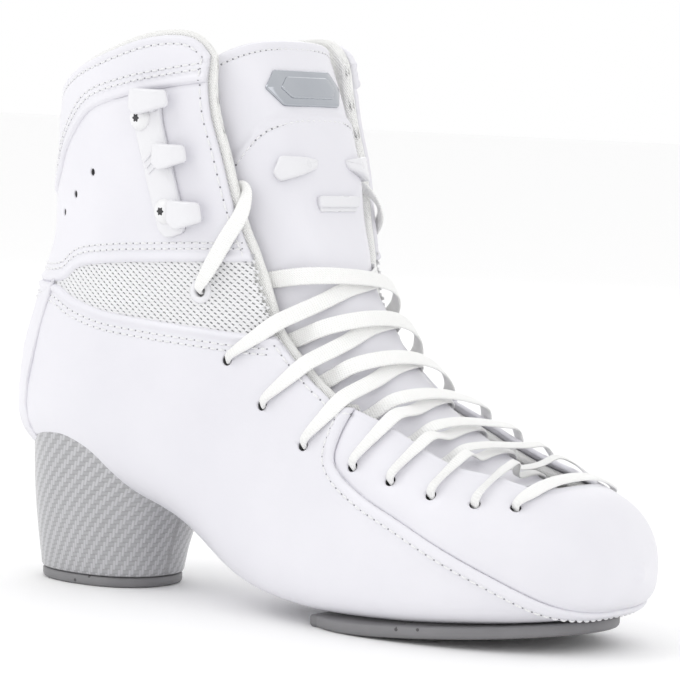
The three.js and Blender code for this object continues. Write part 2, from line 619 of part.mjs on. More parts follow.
// One crossing: out of an eyelet, over its own facing, across the tongue and under the far facing.
function crossing(from, to, side, depth, laceWidth) {
  const a = locate(...from, side);
  const b = locate(...to, -side);
  const at = (share) => ({ u: a.u + (b.u - a.u) * share, angle: a.angle + (b.angle - a.angle) * share });
  const isOpen = (share) => {
    const { u, angle } = at(share);
    const p = formPoint(u, angle);
    return insideOutline(p.x, p.z, openings[angle > 0 ? 1 : -1]);
  };
  let leave = 0;
  while (!isOpen(leave) && leave < 0.48) leave += 0.005;
  let enter = 1;
  while (!isOpen(enter) && enter > 0.52) enter -= 0.005;
  const flat = { width: laceWidth, thickness: LACE.thickness * Math.sqrt(laceWidth / LACE.width) };
  const bunched = { width: LACE.bunchedWidth, thickness: LACE.bunchedThickness };
  const stops = [
    { share: 0, inset: LINING[1] - 0.4, ...bunched },
    { share: 0, inset: 1, ...bunched },
    { share: 0.015, inset: OVER - 1.2, ...bunched },
    { share: 0.35 * leave, inset: OVER - 0.7, ...flat, width: laceWidth * 0.7 },
    { share: 0.75 * leave, inset: OVER - 0.3, ...flat },
    { share: leave, inset: OVER, ...flat },
    { share: leave + depth.descent * (enter - leave), inset: depth.early, ...flat },
    { share: leave + 0.4 * (enter - leave), inset: depth.middle, ...flat },
    { share: leave + 0.6 * (enter - leave), inset: depth.middle, ...flat },
    { share: leave + 0.84 * (enter - leave), inset: depth.late, ...flat },
    { share: enter, inset: UNDER, ...flat },
    { share: (enter + 1) / 2, inset: UNDER, ...flat, width: laceWidth * 0.8 },
    { share: 0.965, inset: UNDER, ...bunched, thickness: LACE.thickness },
  ];
  return ribbon(stops.map((stop) => {
    const { u, angle } = stop.at ?? at(stop.share);
    const here = formPoint(u, angle);
    const ahead = formPoint(u + (b.u - a.u) * 0.02, angle + (b.angle - a.angle) * 0.02);
    const along = ahead.sub(here).normalize();
    const across = formNormal(u, angle).cross(along);
    return { point: onForm(u, angle, stop.inset), across, width: stop.width, thickness: stop.thickness };
  }));
}

// Insets on the way across: lateral strands lie on the tongue, medial strands pass over them.
const DEPTH = {
  1: { descent: 0.09, early: 6.6, middle: 7, late: 7.3 },
  [-1]: { descent: 0.18, early: 2.4, middle: 4.2, late: 4 },
};
const LAST_DEPTH = { 1: { ...DEPTH[1], descent: 0.03, early: 6.9 }, [-1]: { ...DEPTH[-1], late: 3.4 } };
for (const [name, side] of Object.entries(sideNames)) {
  for (let k = 0; k < EYELETS.length - 1; k++) {
    const to = k === 0 ? RING_EYELET : EYELETS[k - 1];
    const width = LACE.width * (1 - LACE.toeNarrowing * Math.max(k - 2, 0));
    const depth = (k === EYELETS.length - 2 ? LAST_DEPTH : DEPTH)[side];
    addPiece(`lace_${name}_${k + 1}`, crossing(EYELETS[k], to, side, depth, width), laceCloth);
  }
}

// A lace that follows the form through side-view points, each [x, z, inset, width].
function laceAlong(route, side) {
  const points = route.map(([x, z, inset]) => {
    const { u, angle } = locate(x, z, side);
    return { point: onForm(u, angle, inset), normal: formNormal(u, angle) };
  });
  return ribbon(points.map(({ point, normal }, i) => {
    const before = points[Math.max(i - 1, 0)].point;
    const after = points[Math.min(i + 1, points.length - 1)].point;
    const across = normal.clone().cross(after.clone().sub(before));
    return { point, across, width: route[i][3], thickness: LACE.thickness };
  }));
}

// Each end of the lace comes out of the ring eyelet, turns over the facing and is tucked in beside the tongue.
// Each stop is [x, z, inset, width, how much of the medial lead it takes].
const { width: laceWidth } = LACE;
const LACE_END = [
  [94.7, 111.2, 5, 2.4, 0], [94.8, 111.4, -1.6, 2.4, 0], [97.5, 115.8, -2, 4.6, 0], [101.5, 122.5, -1.9, laceWidth, 0.3],
  [106.5, 131, -1.8, laceWidth, 0.6], [111.2, 138.6, -1, laceWidth, 0.9], [113.8, 144.6, 2, laceWidth, 1],
  [114.2, 150.2, 5.9, laceWidth, 1], [109, 153.6, UNDER + 0.2, laceWidth, 1], [100, 142, UNDER, laceWidth, 0.6],
  [94.5, 130, UNDER, laceWidth, 0.3],
];
const LACE_TIP = [[94, 129, UNDER, 3.6, 0.3], [90, 119, UNDER, 3.6, 0.1], [86.6, 109, UNDER, 3.6, 0]];
for (const [name, side] of Object.entries(sideNames)) {
  const led = (route) => route.map(([x, z, inset, width, share]) => {
    const lead = side < 0 ? share * medialLead([x, z]) : 0;
    return [x + lead, z, inset, width];
  });
  addPiece(`lace_end_${name}`, laceAlong(led(LACE_END), side), laceCloth);
  addPiece(`lace_tip_${name}`, laceAlong(led(LACE_TIP), side), clearPlastic);
}

// The lace starts as a bar across the closed end of the throat.
const TOE_BAR_STEPS = 8;
const barEnds = [locate(...EYELETS.at(-1), 1), locate(...EYELETS.at(-1), -1)];
const barStop = (share, inset, width) => {
  const [a, b] = barEnds;
  const u = a.u + (b.u - a.u) * share;
  const angle = a.angle + (b.angle - a.angle) * share;
  const across = formNormal(u, angle).cross(formPoint(u, angle - 0.02).sub(formPoint(u, angle + 0.02)));
  return { point: onForm(u, angle, inset), across, width, thickness: LACE.thickness };
};
const bar = [barStop(0, 3, LACE.bunchedWidth), barStop(0.01, OVER - 0.5, LACE.bunchedWidth)];
for (let i = 1; i < TOE_BAR_STEPS; i++) bar.push(barStop(i / TOE_BAR_STEPS, OVER, laceWidth * 0.8));
bar.push(barStop(0.99, OVER - 0.5, LACE.bunchedWidth), barStop(1, 3, LACE.bunchedWidth));
addPiece('lace_toe_bar', ribbon(bar), laceCloth);

boot.position.set(-BOX_MIDDLE.x, -BOX_MIDDLE.y, 0);

export default boot;
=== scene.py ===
import json
import math

import bmesh
import bpy
import numpy as np
from mathutils import Matrix, Vector, kdtree

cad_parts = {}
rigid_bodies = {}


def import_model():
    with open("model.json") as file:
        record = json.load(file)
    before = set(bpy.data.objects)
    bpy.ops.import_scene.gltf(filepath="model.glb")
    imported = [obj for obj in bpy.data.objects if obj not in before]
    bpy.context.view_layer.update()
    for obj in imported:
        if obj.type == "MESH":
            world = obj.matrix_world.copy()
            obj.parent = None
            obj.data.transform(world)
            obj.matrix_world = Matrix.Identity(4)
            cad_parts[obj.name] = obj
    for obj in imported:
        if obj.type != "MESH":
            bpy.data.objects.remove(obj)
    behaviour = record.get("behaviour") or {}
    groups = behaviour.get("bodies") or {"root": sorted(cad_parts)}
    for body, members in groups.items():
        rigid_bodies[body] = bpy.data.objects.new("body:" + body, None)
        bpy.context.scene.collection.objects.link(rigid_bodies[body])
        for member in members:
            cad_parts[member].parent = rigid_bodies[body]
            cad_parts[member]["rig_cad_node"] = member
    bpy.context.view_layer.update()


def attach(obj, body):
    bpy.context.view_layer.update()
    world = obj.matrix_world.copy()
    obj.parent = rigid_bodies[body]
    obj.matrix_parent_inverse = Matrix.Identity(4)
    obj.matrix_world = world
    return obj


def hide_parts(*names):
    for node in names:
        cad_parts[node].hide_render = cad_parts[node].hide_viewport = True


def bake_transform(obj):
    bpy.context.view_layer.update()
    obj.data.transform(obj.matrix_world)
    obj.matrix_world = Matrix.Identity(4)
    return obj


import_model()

# An ice skating boot, built in millimetres in the frame that its form is drawn in and written out in the row
# frame. +X is towards the toe and +Z is up; the lateral side, side 1, faces -Y; the medial side is side -1.

MIDDLE = np.array([121.84, 2.03, 0.0])  # what the drawing frame is shifted by, in mm
MM = 0.001


def row(points):
    """Points of the drawing frame in mm as points of the row frame in metres."""
    return (np.asarray(points, float) - MIDDLE) * MM


# ---------------------------------------------------------------- camera, light and floor

VIEW_AZIMUTH, VIEW_HEIGHT, VIEW_ROLL = math.radians(36.97), math.radians(4.25), math.radians(2.28)
VIEW_DISTANCE, VIEW_LENS, VIEW_SHIFT = 1.15149, 174.38, (-0.006, 0.0025)
VIEW_TARGET = Vector((0.00869, -0.00164, 0.09504))
FLOOR_REACH = 14


def add_camera():
    sin, cos = math.sin, math.cos
    flat = cos(VIEW_HEIGHT)
    back = Vector((sin(VIEW_AZIMUTH) * flat, -cos(VIEW_AZIMUTH) * flat, sin(VIEW_HEIGHT)))
    level = Vector((cos(VIEW_AZIMUTH), sin(VIEW_AZIMUTH), 0))
    upright = back.cross(level)
    right = cos(VIEW_ROLL) * level + sin(VIEW_ROLL) * upright
    up = cos(VIEW_ROLL) * upright - sin(VIEW_ROLL) * level
    data = bpy.data.cameras.new("camera")
    data.sensor_width, data.lens = 36, VIEW_LENS
    data.shift_x, data.shift_y = VIEW_SHIFT
    data.clip_start, data.clip_end = 0.01, 100
    camera = bpy.data.objects.new("camera", data)
    turned = Matrix((right, up, back)).transposed().to_4x4()
    camera.matrix_world = Matrix.Translation(VIEW_TARGET + back * VIEW_DISTANCE) @ turned
    bpy.context.scene.collection.objects.link(camera)
    bpy.context.scene.camera = camera


def add_area_light(name, place, power, size, target=(0, 0, 0.08)):
    data = bpy.data.lights.new(name, "AREA")
    data.energy, data.size = power, size
    light = bpy.data.objects.new(name, data)
    light.location = place
    light.rotation_euler = (Vector(target) - Vector(place)).to_track_quat("-Z", "Y").to_euler()
    bpy.context.scene.collection.objects.link(light)


def add_floor():
    mesh = bpy.data.meshes.new("floor")
    corners = [(x * FLOOR_REACH, y * FLOOR_REACH, 0) for x, y in ((-1, -1), (1, -1), (1, 1), (-1, 1))]
    mesh.from_pydata(corners, [], [(0, 1, 2, 3)])
    floor = bpy.data.objects.new("floor", mesh)
    bpy.context.scene.collection.objects.link(floor)
    paint = bpy.data.materials.new("floor_paint")
    paint.use_nodes = True
    shader = paint.node_tree.nodes["Principled BSDF"]
    shader.inputs["Base Color"].default_value = (0.97, 0.97, 0.97, 1)
    shader.inputs["Roughness"].default_value = 0.9
    floor.data.materials.append(paint)


add_camera()
add_floor()
add_area_light("key", (-0.9, -1.2, 1.6), 6.3, 1.0)
add_area_light("front", (1.6, -0.7, 0.9), 1.6, 1.0)
add_area_light("rear", (-0.9, 1.2, 1.1), 3.5, 1.2)
world = bpy.data.worlds.new("studio")
bpy.context.scene.world = world
world.use_nodes = True
world.node_tree.nodes["Background"].inputs["Color"].default_value = (1, 1, 1, 1)
world.node_tree.nodes["Background"].inputs["Strength"].default_value = 1.0

bpy.context.scene.view_settings.view_transform = "Standard"  # keeps the whites of the boot apart

# ---------------------------------------------------------------- materials


class Nodes:
    """A material's node tree, with short ways to add and join nodes."""

    def __init__(self, name):
        self.material = bpy.data.materials.new(name)
        self.material.use_nodes = True
        self.tree = self.material.node_tree
        self.shader = self.tree.nodes["Principled BSDF"]

    def add(self, kind, values=None, **settings):
        node = self.tree.nodes.new("ShaderNode" + kind)
        for key, value in settings.items():
            setattr(node, key, value)
        for key, value in (values or {}).items():
            if isinstance(value, bpy.types.NodeSocket):
                self.tree.links.new(value, node.inputs[key])
            else:
                node.inputs[key].default_value = value
        return node

    def set(self, **sockets):
        for key, value in sockets.items():
            name = key.replace("_", " ")
            if isinstance(value, bpy.types.NodeSocket):
                self.tree.links.new(value, self.shader.inputs[name])
            else:
                self.shader.inputs[name].default_value = value

    def noise(self, scale, detail=3, roughness=0.5, vector=None):
        values = {"Scale": scale, "Detail": detail, "Roughness": roughness}
        values["Vector"] = vector or self.place()
        return self.add("TexNoise", values).outputs["Fac"]

    def place(self):
        if not hasattr(self, "_place"):
            self._place = self.add("TexCoord").outputs["Object"]
        return self._place

    def attribute(self, name):
        return self.add("Attribute", attribute_name=name).outputs["Vector"]

    def ramp(self, factor, *stops):
        node = self.add("ValToRGB", {"Fac": factor})
        ramp = node.color_ramp
        while len(ramp.elements) < len(stops):
            ramp.elements.new(0.5)
        for element, (position, colour) in zip(ramp.elements, stops):
            element.position = position
            element.color = (*colour, 1)
        return node.outputs["Color"]

    def math(self, operation, a, b=0.0):
        node = self.add("Math", operation=operation)
        for socket, value in zip(node.inputs, (a, b)):
            if isinstance(value, bpy.types.NodeSocket):
                self.tree.links.new(value, socket)
            else:
                socket.default_value = value
        return node.outputs["Value"]

    def between(self, factor, low, high):
        return self.add("MapRange", {"Value": factor, "To Min": low, "To Max": high}).outputs["Result"]

    def bump(self, height, distance, strength=1.0):
        node = self.add("Bump", {"Height": height, "Distance": distance, "Strength": strength})
        self.set(Normal=node.outputs["Normal"])


def grained(name, dark, light, rough, grain, depth, cloud=18, spread=0.08, **sockets):
    """A moulded or coated surface: faint clouds of tone, fine grain, and roughness that varies a little."""
    n = Nodes(name)
    cloudy = n.noise(cloud, 4)
    n.set(Base_Color=n.ramp(cloudy, (0.3, dark), (0.72, light)))
    fine = n.noise(grain, 3, 0.6)
    n.set(Roughness=n.between(n.noise(cloud * 3, 2), rough - spread, rough + spread), **sockets)
    n.bump(fine, depth)
    return n.material


def woven(name, dark, light, across, along, depth, rough=0.85, route=None, twill=False, **sockets):
    """Cloth: threads over and under at two pitches in metres, laid on the route or on the object, coloured by
    their height: painted shade in the hollows between threads, painted light on their tops.
    """
    n = Nodes(name)
    place = n.attribute(route) if route else n.place()
    split = n.add("SeparateXYZ", {"Vector": place}).outputs
    first = n.math("SINE", n.math("MULTIPLY", split["X"], 2 * math.pi / across))
    lift = n.math("ADD", split["Y"], split["Z"]) if not route else split["Y"]
    if twill:
        lift = n.math("ADD", lift, n.math("MULTIPLY", split["X"], along / across))
    second = n.math("SINE", n.math("MULTIPLY", lift, 2 * math.pi / along))
    threads = n.math("MULTIPLY", first, second)
    fuzz = n.math("MULTIPLY", n.noise(2600, 2), 0.8)
    height = n.math("ADD", threads, fuzz)
    # The colour ramp follows the thread height: painted shade in the hollows and painted light on the tops of
    # the threads; the fuzz adds random tone.
    hollow_shade = n.add("MapRange", {"Value": height, "From Min": -1.0, "From Max": 1.8}).outputs["Result"]
    n.set(Base_Color=n.ramp(hollow_shade, (0.12, dark), (0.75, light)))
    n.set(Roughness=n.between(n.noise(60, 2), rough - 0.06, rough + 0.06), **sockets)
    n.bump(height, depth)
    return n.material


LEATHER_DARK, LEATHER_LIGHT = (0.755, 0.748, 0.795), (0.815, 0.808, 0.85)
leather = grained("shell_leather", LEATHER_DARK, LEATHER_LIGHT, 0.36, 900, 0.00003,
                  Specular_IOR_Level=0.45, Coat_Weight=0.12, Coat_Roughness=0.3)
plastic_white = grained("white_plastic", (0.77, 0.768, 0.795), (0.83, 0.828, 0.85), 0.3, 1500, 0.00002,
                        Coat_Weight=0.1, Coat_Roughness=0.2)
lining_cloth = woven("lining_fabric", (0.87, 0.87, 0.85), (0.955, 0.955, 0.94), 0.0011, 0.0011, 0.00012,
                     Sheen_Weight=0.3, Sheen_Roughness=0.5)
lace_cotton = woven("lace_cotton", (0.92, 0.92, 0.905), (0.985, 0.985, 0.975), 0.0016, 0.0009, 0.00009,
                    route="route", twill=True, Sheen_Weight=0.25, Sheen_Roughness=0.5)
mesh_yarn = woven("gusset_mesh", (0.84, 0.84, 0.855), (0.92, 0.92, 0.93), 0.0006, 0.0006, 0.00006,
                  Sheen_Weight=0.2)
mesh_backing = woven("gusset_backing", (0.58, 0.58, 0.60), (0.70, 0.70, 0.72), 0.0007, 0.0007, 0.00006)
thread = woven("thread", (0.80, 0.80, 0.81), (0.92, 0.92, 0.93), 0.0006, 0.0008, 0.00004)
# Dark grey for the needle holes: painted shade in the holes.
needle_hole_shade = grained("needle_hole_shade", (0.22, 0.22, 0.24), (0.36, 0.36, 0.38), 0.8, 2000, 0.00001)
# Near-black for the screw sockets and the hole bores: painted shade inside recesses.
recess_shade = grained("recess_shade", (0.035, 0.035, 0.037), (0.07, 0.07, 0.075), 0.6, 1500, 0.00001)
chrome = grained("emblem_chrome", (0.36, 0.38, 0.42), (0.52, 0.54, 0.57), 0.14, 700, 0.00001, spread=0.04,
                 Metallic=1.0)
screw_metal = grained("screw_steel", (0.80, 0.80, 0.81), (0.87, 0.87, 0.88), 0.28, 1500, 0.00001,
                      Coat_Weight=0.2)
backing_metal = grained("backing_steel", (0.42, 0.43, 0.45), (0.55, 0.56, 0.58), 0.35, 1200, 0.00002,
                        Metallic=1.0)
board = grained("stiffener_board", (0.38, 0.32, 0.25), (0.50, 0.43, 0.34), 0.8, 500, 0.0001)
foam = grained("footbed_foam", (0.66, 0.66, 0.64), (0.78, 0.78, 0.76), 0.9, 1400, 0.00012)
tip_plastic = grained("tip_plastic", (0.78, 0.78, 0.76), (0.86, 0.86, 0.84), 0.2, 900, 0.00001,
                      Coat_Weight=0.5)


def plate_plastic():
    """Grey moulded plate: fine grain with small scattered dark specks."""
    n = Nodes("plate_plastic")
    base = n.ramp(n.noise(40, 4), (0.3, (0.19, 0.187, 0.195)), (0.7, (0.235, 0.232, 0.24)))
    cells = {"Vector": n.place(), "Scale": 210.0, "Randomness": 1.0}
    specks = n.add("TexVoronoi", cells, feature="F1").outputs
    patch = n.math("GREATER_THAN", n.noise(45, 2), 0.56)
    spot = n.math("MULTIPLY", n.math("LESS_THAN", specks["Distance"], 0.13), patch)
    mix = n.add("MixRGB", {"Fac": spot, "Color1": base, "Color2": (0.07, 0.065, 0.07, 1)})
    n.set(Base_Color=mix.outputs["Color"], Roughness=n.between(n.noise(90, 2), 0.42, 0.58))
    n.bump(n.noise(1100, 3), 0.00003)
    return n.material


UPRIGHT_TOW, LEVEL_TOW = 0.0010, 0.0017  # widths of the heel's tows


def carbon_twill():
    """Silver-grey woven fibre under clear resin: a two-over-two twill laid round the heel, with painted light
    on the crowns of its tows and painted shade between them.
    """
    n = Nodes("heel_composite")
    split = n.add("SeparateXYZ", {"Vector": n.attribute("route")}).outputs
    x = n.math("DIVIDE", split["X"], UPRIGHT_TOW)
    y = n.math("DIVIDE", split["Y"], LEVEL_TOW)
    column, line = n.math("FLOOR", x), n.math("FLOOR", y)
    step = n.math("FLOORED_MODULO", n.math("SUBTRACT", column, line), 4.0)
    over = n.math("LESS_THAN", step, 1.5)  # where the upright tow is on top
    fx = n.math("SUBTRACT", n.math("FRACT", x), 0.5)
    fy = n.math("SUBTRACT", n.math("FRACT", y), 0.5)
    # crown_x and crown_y peak along the middle of each tow. They shape the bump and, through tone, make each
    # tow lighter at its crown and darker at its edges: painted light and shade on the rounded tows.
    crown_x = n.math("SUBTRACT", 1.0, n.math("MULTIPLY", n.math("MULTIPLY", fx, fx), 3.4))
    crown_y = n.math("SUBTRACT", 1.0, n.math("MULTIPLY", n.math("MULTIPLY", fy, fy), 3.4))
    mix = n.add("MixRGB", {"Fac": over, "Color1": crown_y, "Color2": crown_x}).outputs["Color"]
    strands = {"Vector": n.attribute("route"), "Scale": 900.0, "Distortion": 1.0}
    fibres = n.add("TexWave", strands).outputs["Fac"]
    tone = n.math("ADD", n.math("MULTIPLY", over, 0.42), n.math("MULTIPLY", mix, 0.38))
    tone = n.math("ADD", tone, n.math("MULTIPLY", fibres, 0.12))
    tone = n.math("ADD", tone, n.math("MULTIPLY", n.noise(70, 3), 0.16))
    colour = n.ramp(tone, (0.25, (0.33, 0.33, 0.34)), (0.62, (0.43, 0.43, 0.445)), (0.95, (0.54, 0.54, 0.56)))
    n.set(Base_Color=colour, Metallic=0.25, Coat_Weight=0.6, Coat_Roughness=0.12)
    n.set(Roughness=n.between(n.noise(50, 2), 0.34, 0.46))
    n.bump(mix, 0.0001)
    return n.material


plate_grey = plate_plastic()
heel_fibre = carbon_twill()

# ---------------------------------------------------------------- the form

# back x and z, front x and z, half width, where it is widest, front and back squareness, sway
STATIONS = np.array([
    [13, 213, 104, 216, 42.5, 0.44, 2.8, 2.2, 1],
    [8, 190, 111, 203.5, 42, 0.42, 2.8, 2.2, 2],
    [5, 168, 119, 187.5, 41.5, 0.4, 2.8, 2.2, 2],
    [3, 146, 126, 171, 41, 0.4, 2.8, 2.2, 2],
    [2, 124, 131, 156, 40.5, 0.4, 2.8, 2.2, 2],
    [-5, 102, 135, 141, 39.5, 0.42, 2.8, 2.3, 1.5],
    [-9.5, 79, 140, 130, 38.5, 0.46, 2.7, 2.4, 1],
    [-4, 51.5, 145, 120, 37.5, 0.52, 2.6, 2.7, 0],
    [32, 39.5, 152, 110, 37, 0.56, 2.5, 3, 0],
    [74, 27, 160, 98, 38, 0.58, 2.4, 2.9, 0],
    [108, 10, 174, 85, 40.5, 0.6, 2.3, 3.6, 0],
    [142, 5, 192, 73, 43.5, 0.6, 2.2, 5, 1],
    [177, 5.4, 209, 63, 45, 0.6, 2.2, 5.6, 2.5],
    [206, 7.2, 225, 56, 41.5, 0.6, 2.3, 5.2, 4.5],
    [230, 10, 238, 50, 34, 0.6, 2.3, 4.2, 6],
    [246, 14, 246.5, 41.5, 21.5, 0.56, 2.3, 3, 6.5],
    [253, 24.5, 251.5, 31, 4, 0.5, 2.2, 2.2, 6.5],
])
LAST = len(STATIONS) - 1
RIM = LAST + 1.0  # radius of the top of the shaft on the disc; the toe is its middle


def spline(table, at):
    """Rows of a table at fractional places, on a Catmull-Rom curve through them."""
    table = np.asarray(table, float)
    n = len(table)
    at = np.clip(np.asarray(at, float), 0, n - 1)
    i = np.minimum(at.astype(int), n - 2)
    w = (at - i)[:, None]
    ext = np.vstack([2 * table[0] - table[1], table, 2 * table[-1] - table[-2]])
    p0, p1, p2, p3 = ext[i], ext[i + 1], ext[i + 2], ext[i + 3]
    v0, v1 = (p2 - p0) / 2, (p3 - p1) / 2
    return (2 * p1 - 2 * p2 + v0 + v1) * w**3 + (-3 * p1 + 3 * p2 - 2 * v0 - v1) * w**2 + v0 * w + p1


def smooth(points, steps=6):
    """A drawn line through its points, rounded; each piece is weighed by its length, so it doesn't swing."""
    points = np.asarray(points, float)
    gaps = np.sqrt(np.linalg.norm(np.diff(points, axis=0), axis=1))[:, None]
    slopes = np.diff(points, axis=0) / gaps
    inner = (slopes[:-1] * gaps[1:] + slopes[1:] * gaps[:-1]) / (gaps[1:] + gaps[:-1])
    tangents = np.vstack([slopes[:1], inner, slopes[-1:]])
    out = [points[:1]]
    t = (np.arange(1, steps + 1) / steps)[:, None]
    for i, gap in enumerate(gaps[:, 0]):
        a, b = points[i], points[i + 1]
        v0, v1 = tangents[i] * gap, tangents[i + 1] * gap
        out.append((2 * a - 2 * b + v0 + v1) * t**3 + (-3 * a + 3 * b - 2 * v0 - v1) * t**2 + v0 * t + a)
    return np.vstack(out)


def form_point(u, angle):
    """The form at a station number and an angle: 0 at the front, pi at the back, positive laterally."""
    u, angle = np.broadcast_arrays(np.asarray(u, float), np.asarray(angle, float))
    rows = spline(STATIONS, u.ravel())
    back_x, back_z, front_x, front_z, half, widest, front_power, back_power, sway = rows.T
    angle = angle.ravel()
    cos, sin = np.cos(angle), np.sin(angle)
    power = 2 / np.where(cos >= 0, front_power, back_power)
    along = np.abs(cos) ** power
    share = np.where(cos >= 0, widest * (1 - along), widest + (1 - widest) * along)
    y = sway - np.sign(sin) * half * np.abs(sin) ** power
    return np.stack([front_x + (back_x - front_x) * share, y, front_z + (back_z - front_z) * share], -1)


def form_normal(u, angle, step=0.02):
    along = form_point(u + step, angle) - form_point(u - step, angle)
    around = form_point(u, angle + step) - form_point(u, angle - step)
    return unit(np.cross(around, along))


def unit(v):
    return v / np.maximum(np.linalg.norm(v, axis=-1, keepdims=True), 1e-12)


def run_along(points):
    """The length along a row of points, up to each of them."""
    return np.concatenate([[0], np.cumsum(np.linalg.norm(np.diff(points, axis=0), axis=1))])


# The form as a table with even steps round each section, so that panels laid out on it are even too.
TABLE_U, TABLE_B = 340, 720
STEP_U = RIM / TABLE_U


def make_table():
    share = np.linspace(0, 1, 181)
    eased = share**3 / (share**3 + (1 - share) ** 3)  # crowds the samples where a section turns
    angles = np.concatenate([eased * math.pi / 2, math.pi / 2 + eased[1:] * math.pi / 2])
    around = np.linspace(0, 1, TABLE_B // 2 + 1)
    turns = np.empty((TABLE_U + 1, len(around)))
    points = np.empty((TABLE_U + 1, TABLE_B + 1, 3))
    for i in range(TABLE_U + 1):
        u = min(i * STEP_U, LAST)
        ring = form_point(np.full(len(angles), u), angles)
        length = run_along(ring)
        turns[i] = np.interp(around * length[-1], length, angles)
        lateral = form_point(np.full(len(around), u), turns[i])
        sway = spline(STATIONS, [u])[0, 8]
        medial = lateral * [1, -1, 1] + [0, 2 * sway, 0]
        whole = np.vstack([medial[::-1], lateral[1:]])
        if i * STEP_U > LAST:  # the round end of the toe
            closing = RIM - i * STEP_U
            centre = whole.mean(0)
            whole = centre + (whole - centre) * closing + [1.2 * (1 - closing**2), 0, 0]
        points[i] = whole
    du = np.gradient(points, axis=0)
    db = np.gradient(points, axis=1)
    db[:, 0] = db[:, -1] = points[:, 1] - points[:, -2]
    normals = unit(np.cross(db, du))
    normals[-1] = [1, 0, 0]
    return turns, points, normals


TURNS, POINTS, NORMALS = make_table()


def look_up(table, q):
    radius = np.hypot(q[:, 0], q[:, 1])
    u = np.clip((RIM - radius) / STEP_U, 0, TABLE_U - 1e-6)
    b = np.clip((np.arctan2(q[:, 1], q[:, 0]) / math.pi + 1) / 2 * TABLE_B, 0, TABLE_B - 1e-6)
    i, j = u.astype(int), b.astype(int)
    wu, wb = (u - i)[:, None], (b - j)[:, None]
    low = table[i, j] * (1 - wb) + table[i, j + 1] * wb
    high = table[i + 1, j] * (1 - wb) + table[i + 1, j + 1] * wb
    return low * (1 - wu) + high * wu


def on_form(q, inset=0.0):
    """Points at an inset under the form, from places on the disc."""
    q = np.atleast_2d(q)
    inset = np.broadcast_to(np.asarray(inset, float), (len(q),))
    return look_up(POINTS, q) - unit(look_up(NORMALS, q)) * inset[:, None]


def normal_at(q):
    return unit(look_up(NORMALS, np.atleast_2d(q)))


def to_disc(u, angle):
    """A station number and an angle as a place on the disc."""
    u, angle = np.atleast_1d(u).astype(float), np.atleast_1d(angle).astype(float)
    i = np.clip(np.round(u / STEP_U).astype(int), 0, TABLE_U)
    steps = np.linspace(0, 1, TURNS.shape[1])
    b = np.array([np.interp(abs(a), TURNS[k], steps) for a, k in zip(angle, i)]) * np.sign(angle) * math.pi
    return np.stack([(RIM - u) * np.cos(b), (RIM - u) * np.sin(b)], -1)


SCAN = np.linspace(0, LAST, 1601)
SCAN_ROWS = spline(STATIONS, SCAN)


def locate(points, side):
    """Station numbers, angles and raw shares of points of the side view; others go to the form's edge."""
    points = np.atleast_2d(np.asarray(points, float))
    back, front = SCAN_ROWS[:, 0:2], SCAN_ROWS[:, 2:4]
    line = back - front
    length = np.linalg.norm(line, axis=1)
    off = points[:, None, :] - front[None]
    raw = (off * line).sum(-1) / length**2
    share = np.clip(raw, 0, 1)
    error = np.linalg.norm(off - share[..., None] * line, axis=-1)
    best = error.argmin(1)
    signed = (off[..., 0] * line[:, 1] - off[..., 1] * line[:, 0]) / length
    u = np.empty(len(points))
    out = np.empty(len(points))
    for k, i in enumerate(best):
        u[k], out[k] = SCAN[i], raw[k, i]
        for j in (i - 1, i + 1):
            if 0 <= j < len(SCAN) and signed[k, i] * signed[k, j] < 0 and 0 < raw[k, i] < 1:
                w = signed[k, i] / (signed[k, i] - signed[k, j])
                u[k] = SCAN[i] + w * (SCAN[j] - SCAN[i])
                out[k] = raw[k, i] + w * (raw[k, j] - raw[k, i])
    rows = spline(STATIONS, u)
    widest, front_power, back_power = rows[:, 5], rows[:, 6], rows[:, 7]
    held = np.clip(out, 0, 1)
    near = np.arccos(np.clip(1 - held / widest, 0, 1) ** (front_power / 2))
    far = math.pi - np.arccos(np.clip((held - widest) / (1 - widest), 0, 1) ** (back_power / 2))
    return u, side * np.where(held < widest, near, far), out


def side_line(points, side, fine=24):
    """A line of the side view, smoothed and laid on one side of the form, as places on the disc.
    Where its ends run off the form they stop at the first place on the middle line."""
    u, angle, raw = locate(smooth(points, fine), side)
    on = (raw > 0) & (raw < 1)
    first, last = np.argmax(on), len(on) - 1 - np.argmax(on[::-1])
    first, last = max(first - 1, 0), min(last + 1, len(on) - 1)
    angle = np.where(raw >= 1, side * math.pi, np.where(raw <= 0, 0, angle))
    return to_disc(u[first:last + 1], angle[first:last + 1])


def resample(q, count, fractions=None):
    """A line on the disc at even steps of its real length, or at given shares of it."""
    p = on_form(q)
    length = run_along(p)
    at = (np.linspace(0, 1, count) if fractions is None else fractions) * length[-1]
    return np.stack([np.interp(at, length, q[:, k]) for k in (0, 1)], -1)


def real_length(q):
    return np.linalg.norm(np.diff(on_form(q), axis=0), axis=1).sum()


def nearest_on_form(q, target, turns=4):
    """Moves places on the disc until the form there is as near as it gets to the target points."""
    q = q.copy()
    step = 0.02
    for _ in range(turns):
        p = on_form(q)
        jx = (on_form(q + [step, 0]) - on_form(q - [step, 0])) / (2 * step)
        jy = (on_form(q + [0, step]) - on_form(q - [0, step])) / (2 * step)
        gap = target - p
        a, b, c = (jx * jx).sum(-1), (jx * jy).sum(-1), (jy * jy).sum(-1)
        e, f = (jx * gap).sum(-1), (jy * gap).sum(-1)
        det = np.maximum(a * c - b * b, 1e-9)
        q += np.stack([(c * e - b * f) / det, (a * f - b * e) / det], -1)
    return q


def offset_line(q, distance, towards):
    """A line on the form moved sideways by a distance, to the side where the line towards is."""
    count = len(q)
    p, n = on_form(q), normal_at(q)
    tangent = unit(np.gradient(p, axis=0))
    sideways = unit(np.cross(n, tangent))
    other = on_form(resample(towards, count))
    sign = np.sign(((other - p) * sideways).sum())
    moved = q
    for _ in range(2):
        target = on_form(moved) + sideways * sign * distance / 2
        moved = nearest_on_form(moved, target)
    return moved


# ---------------------------------------------------------------- meshes


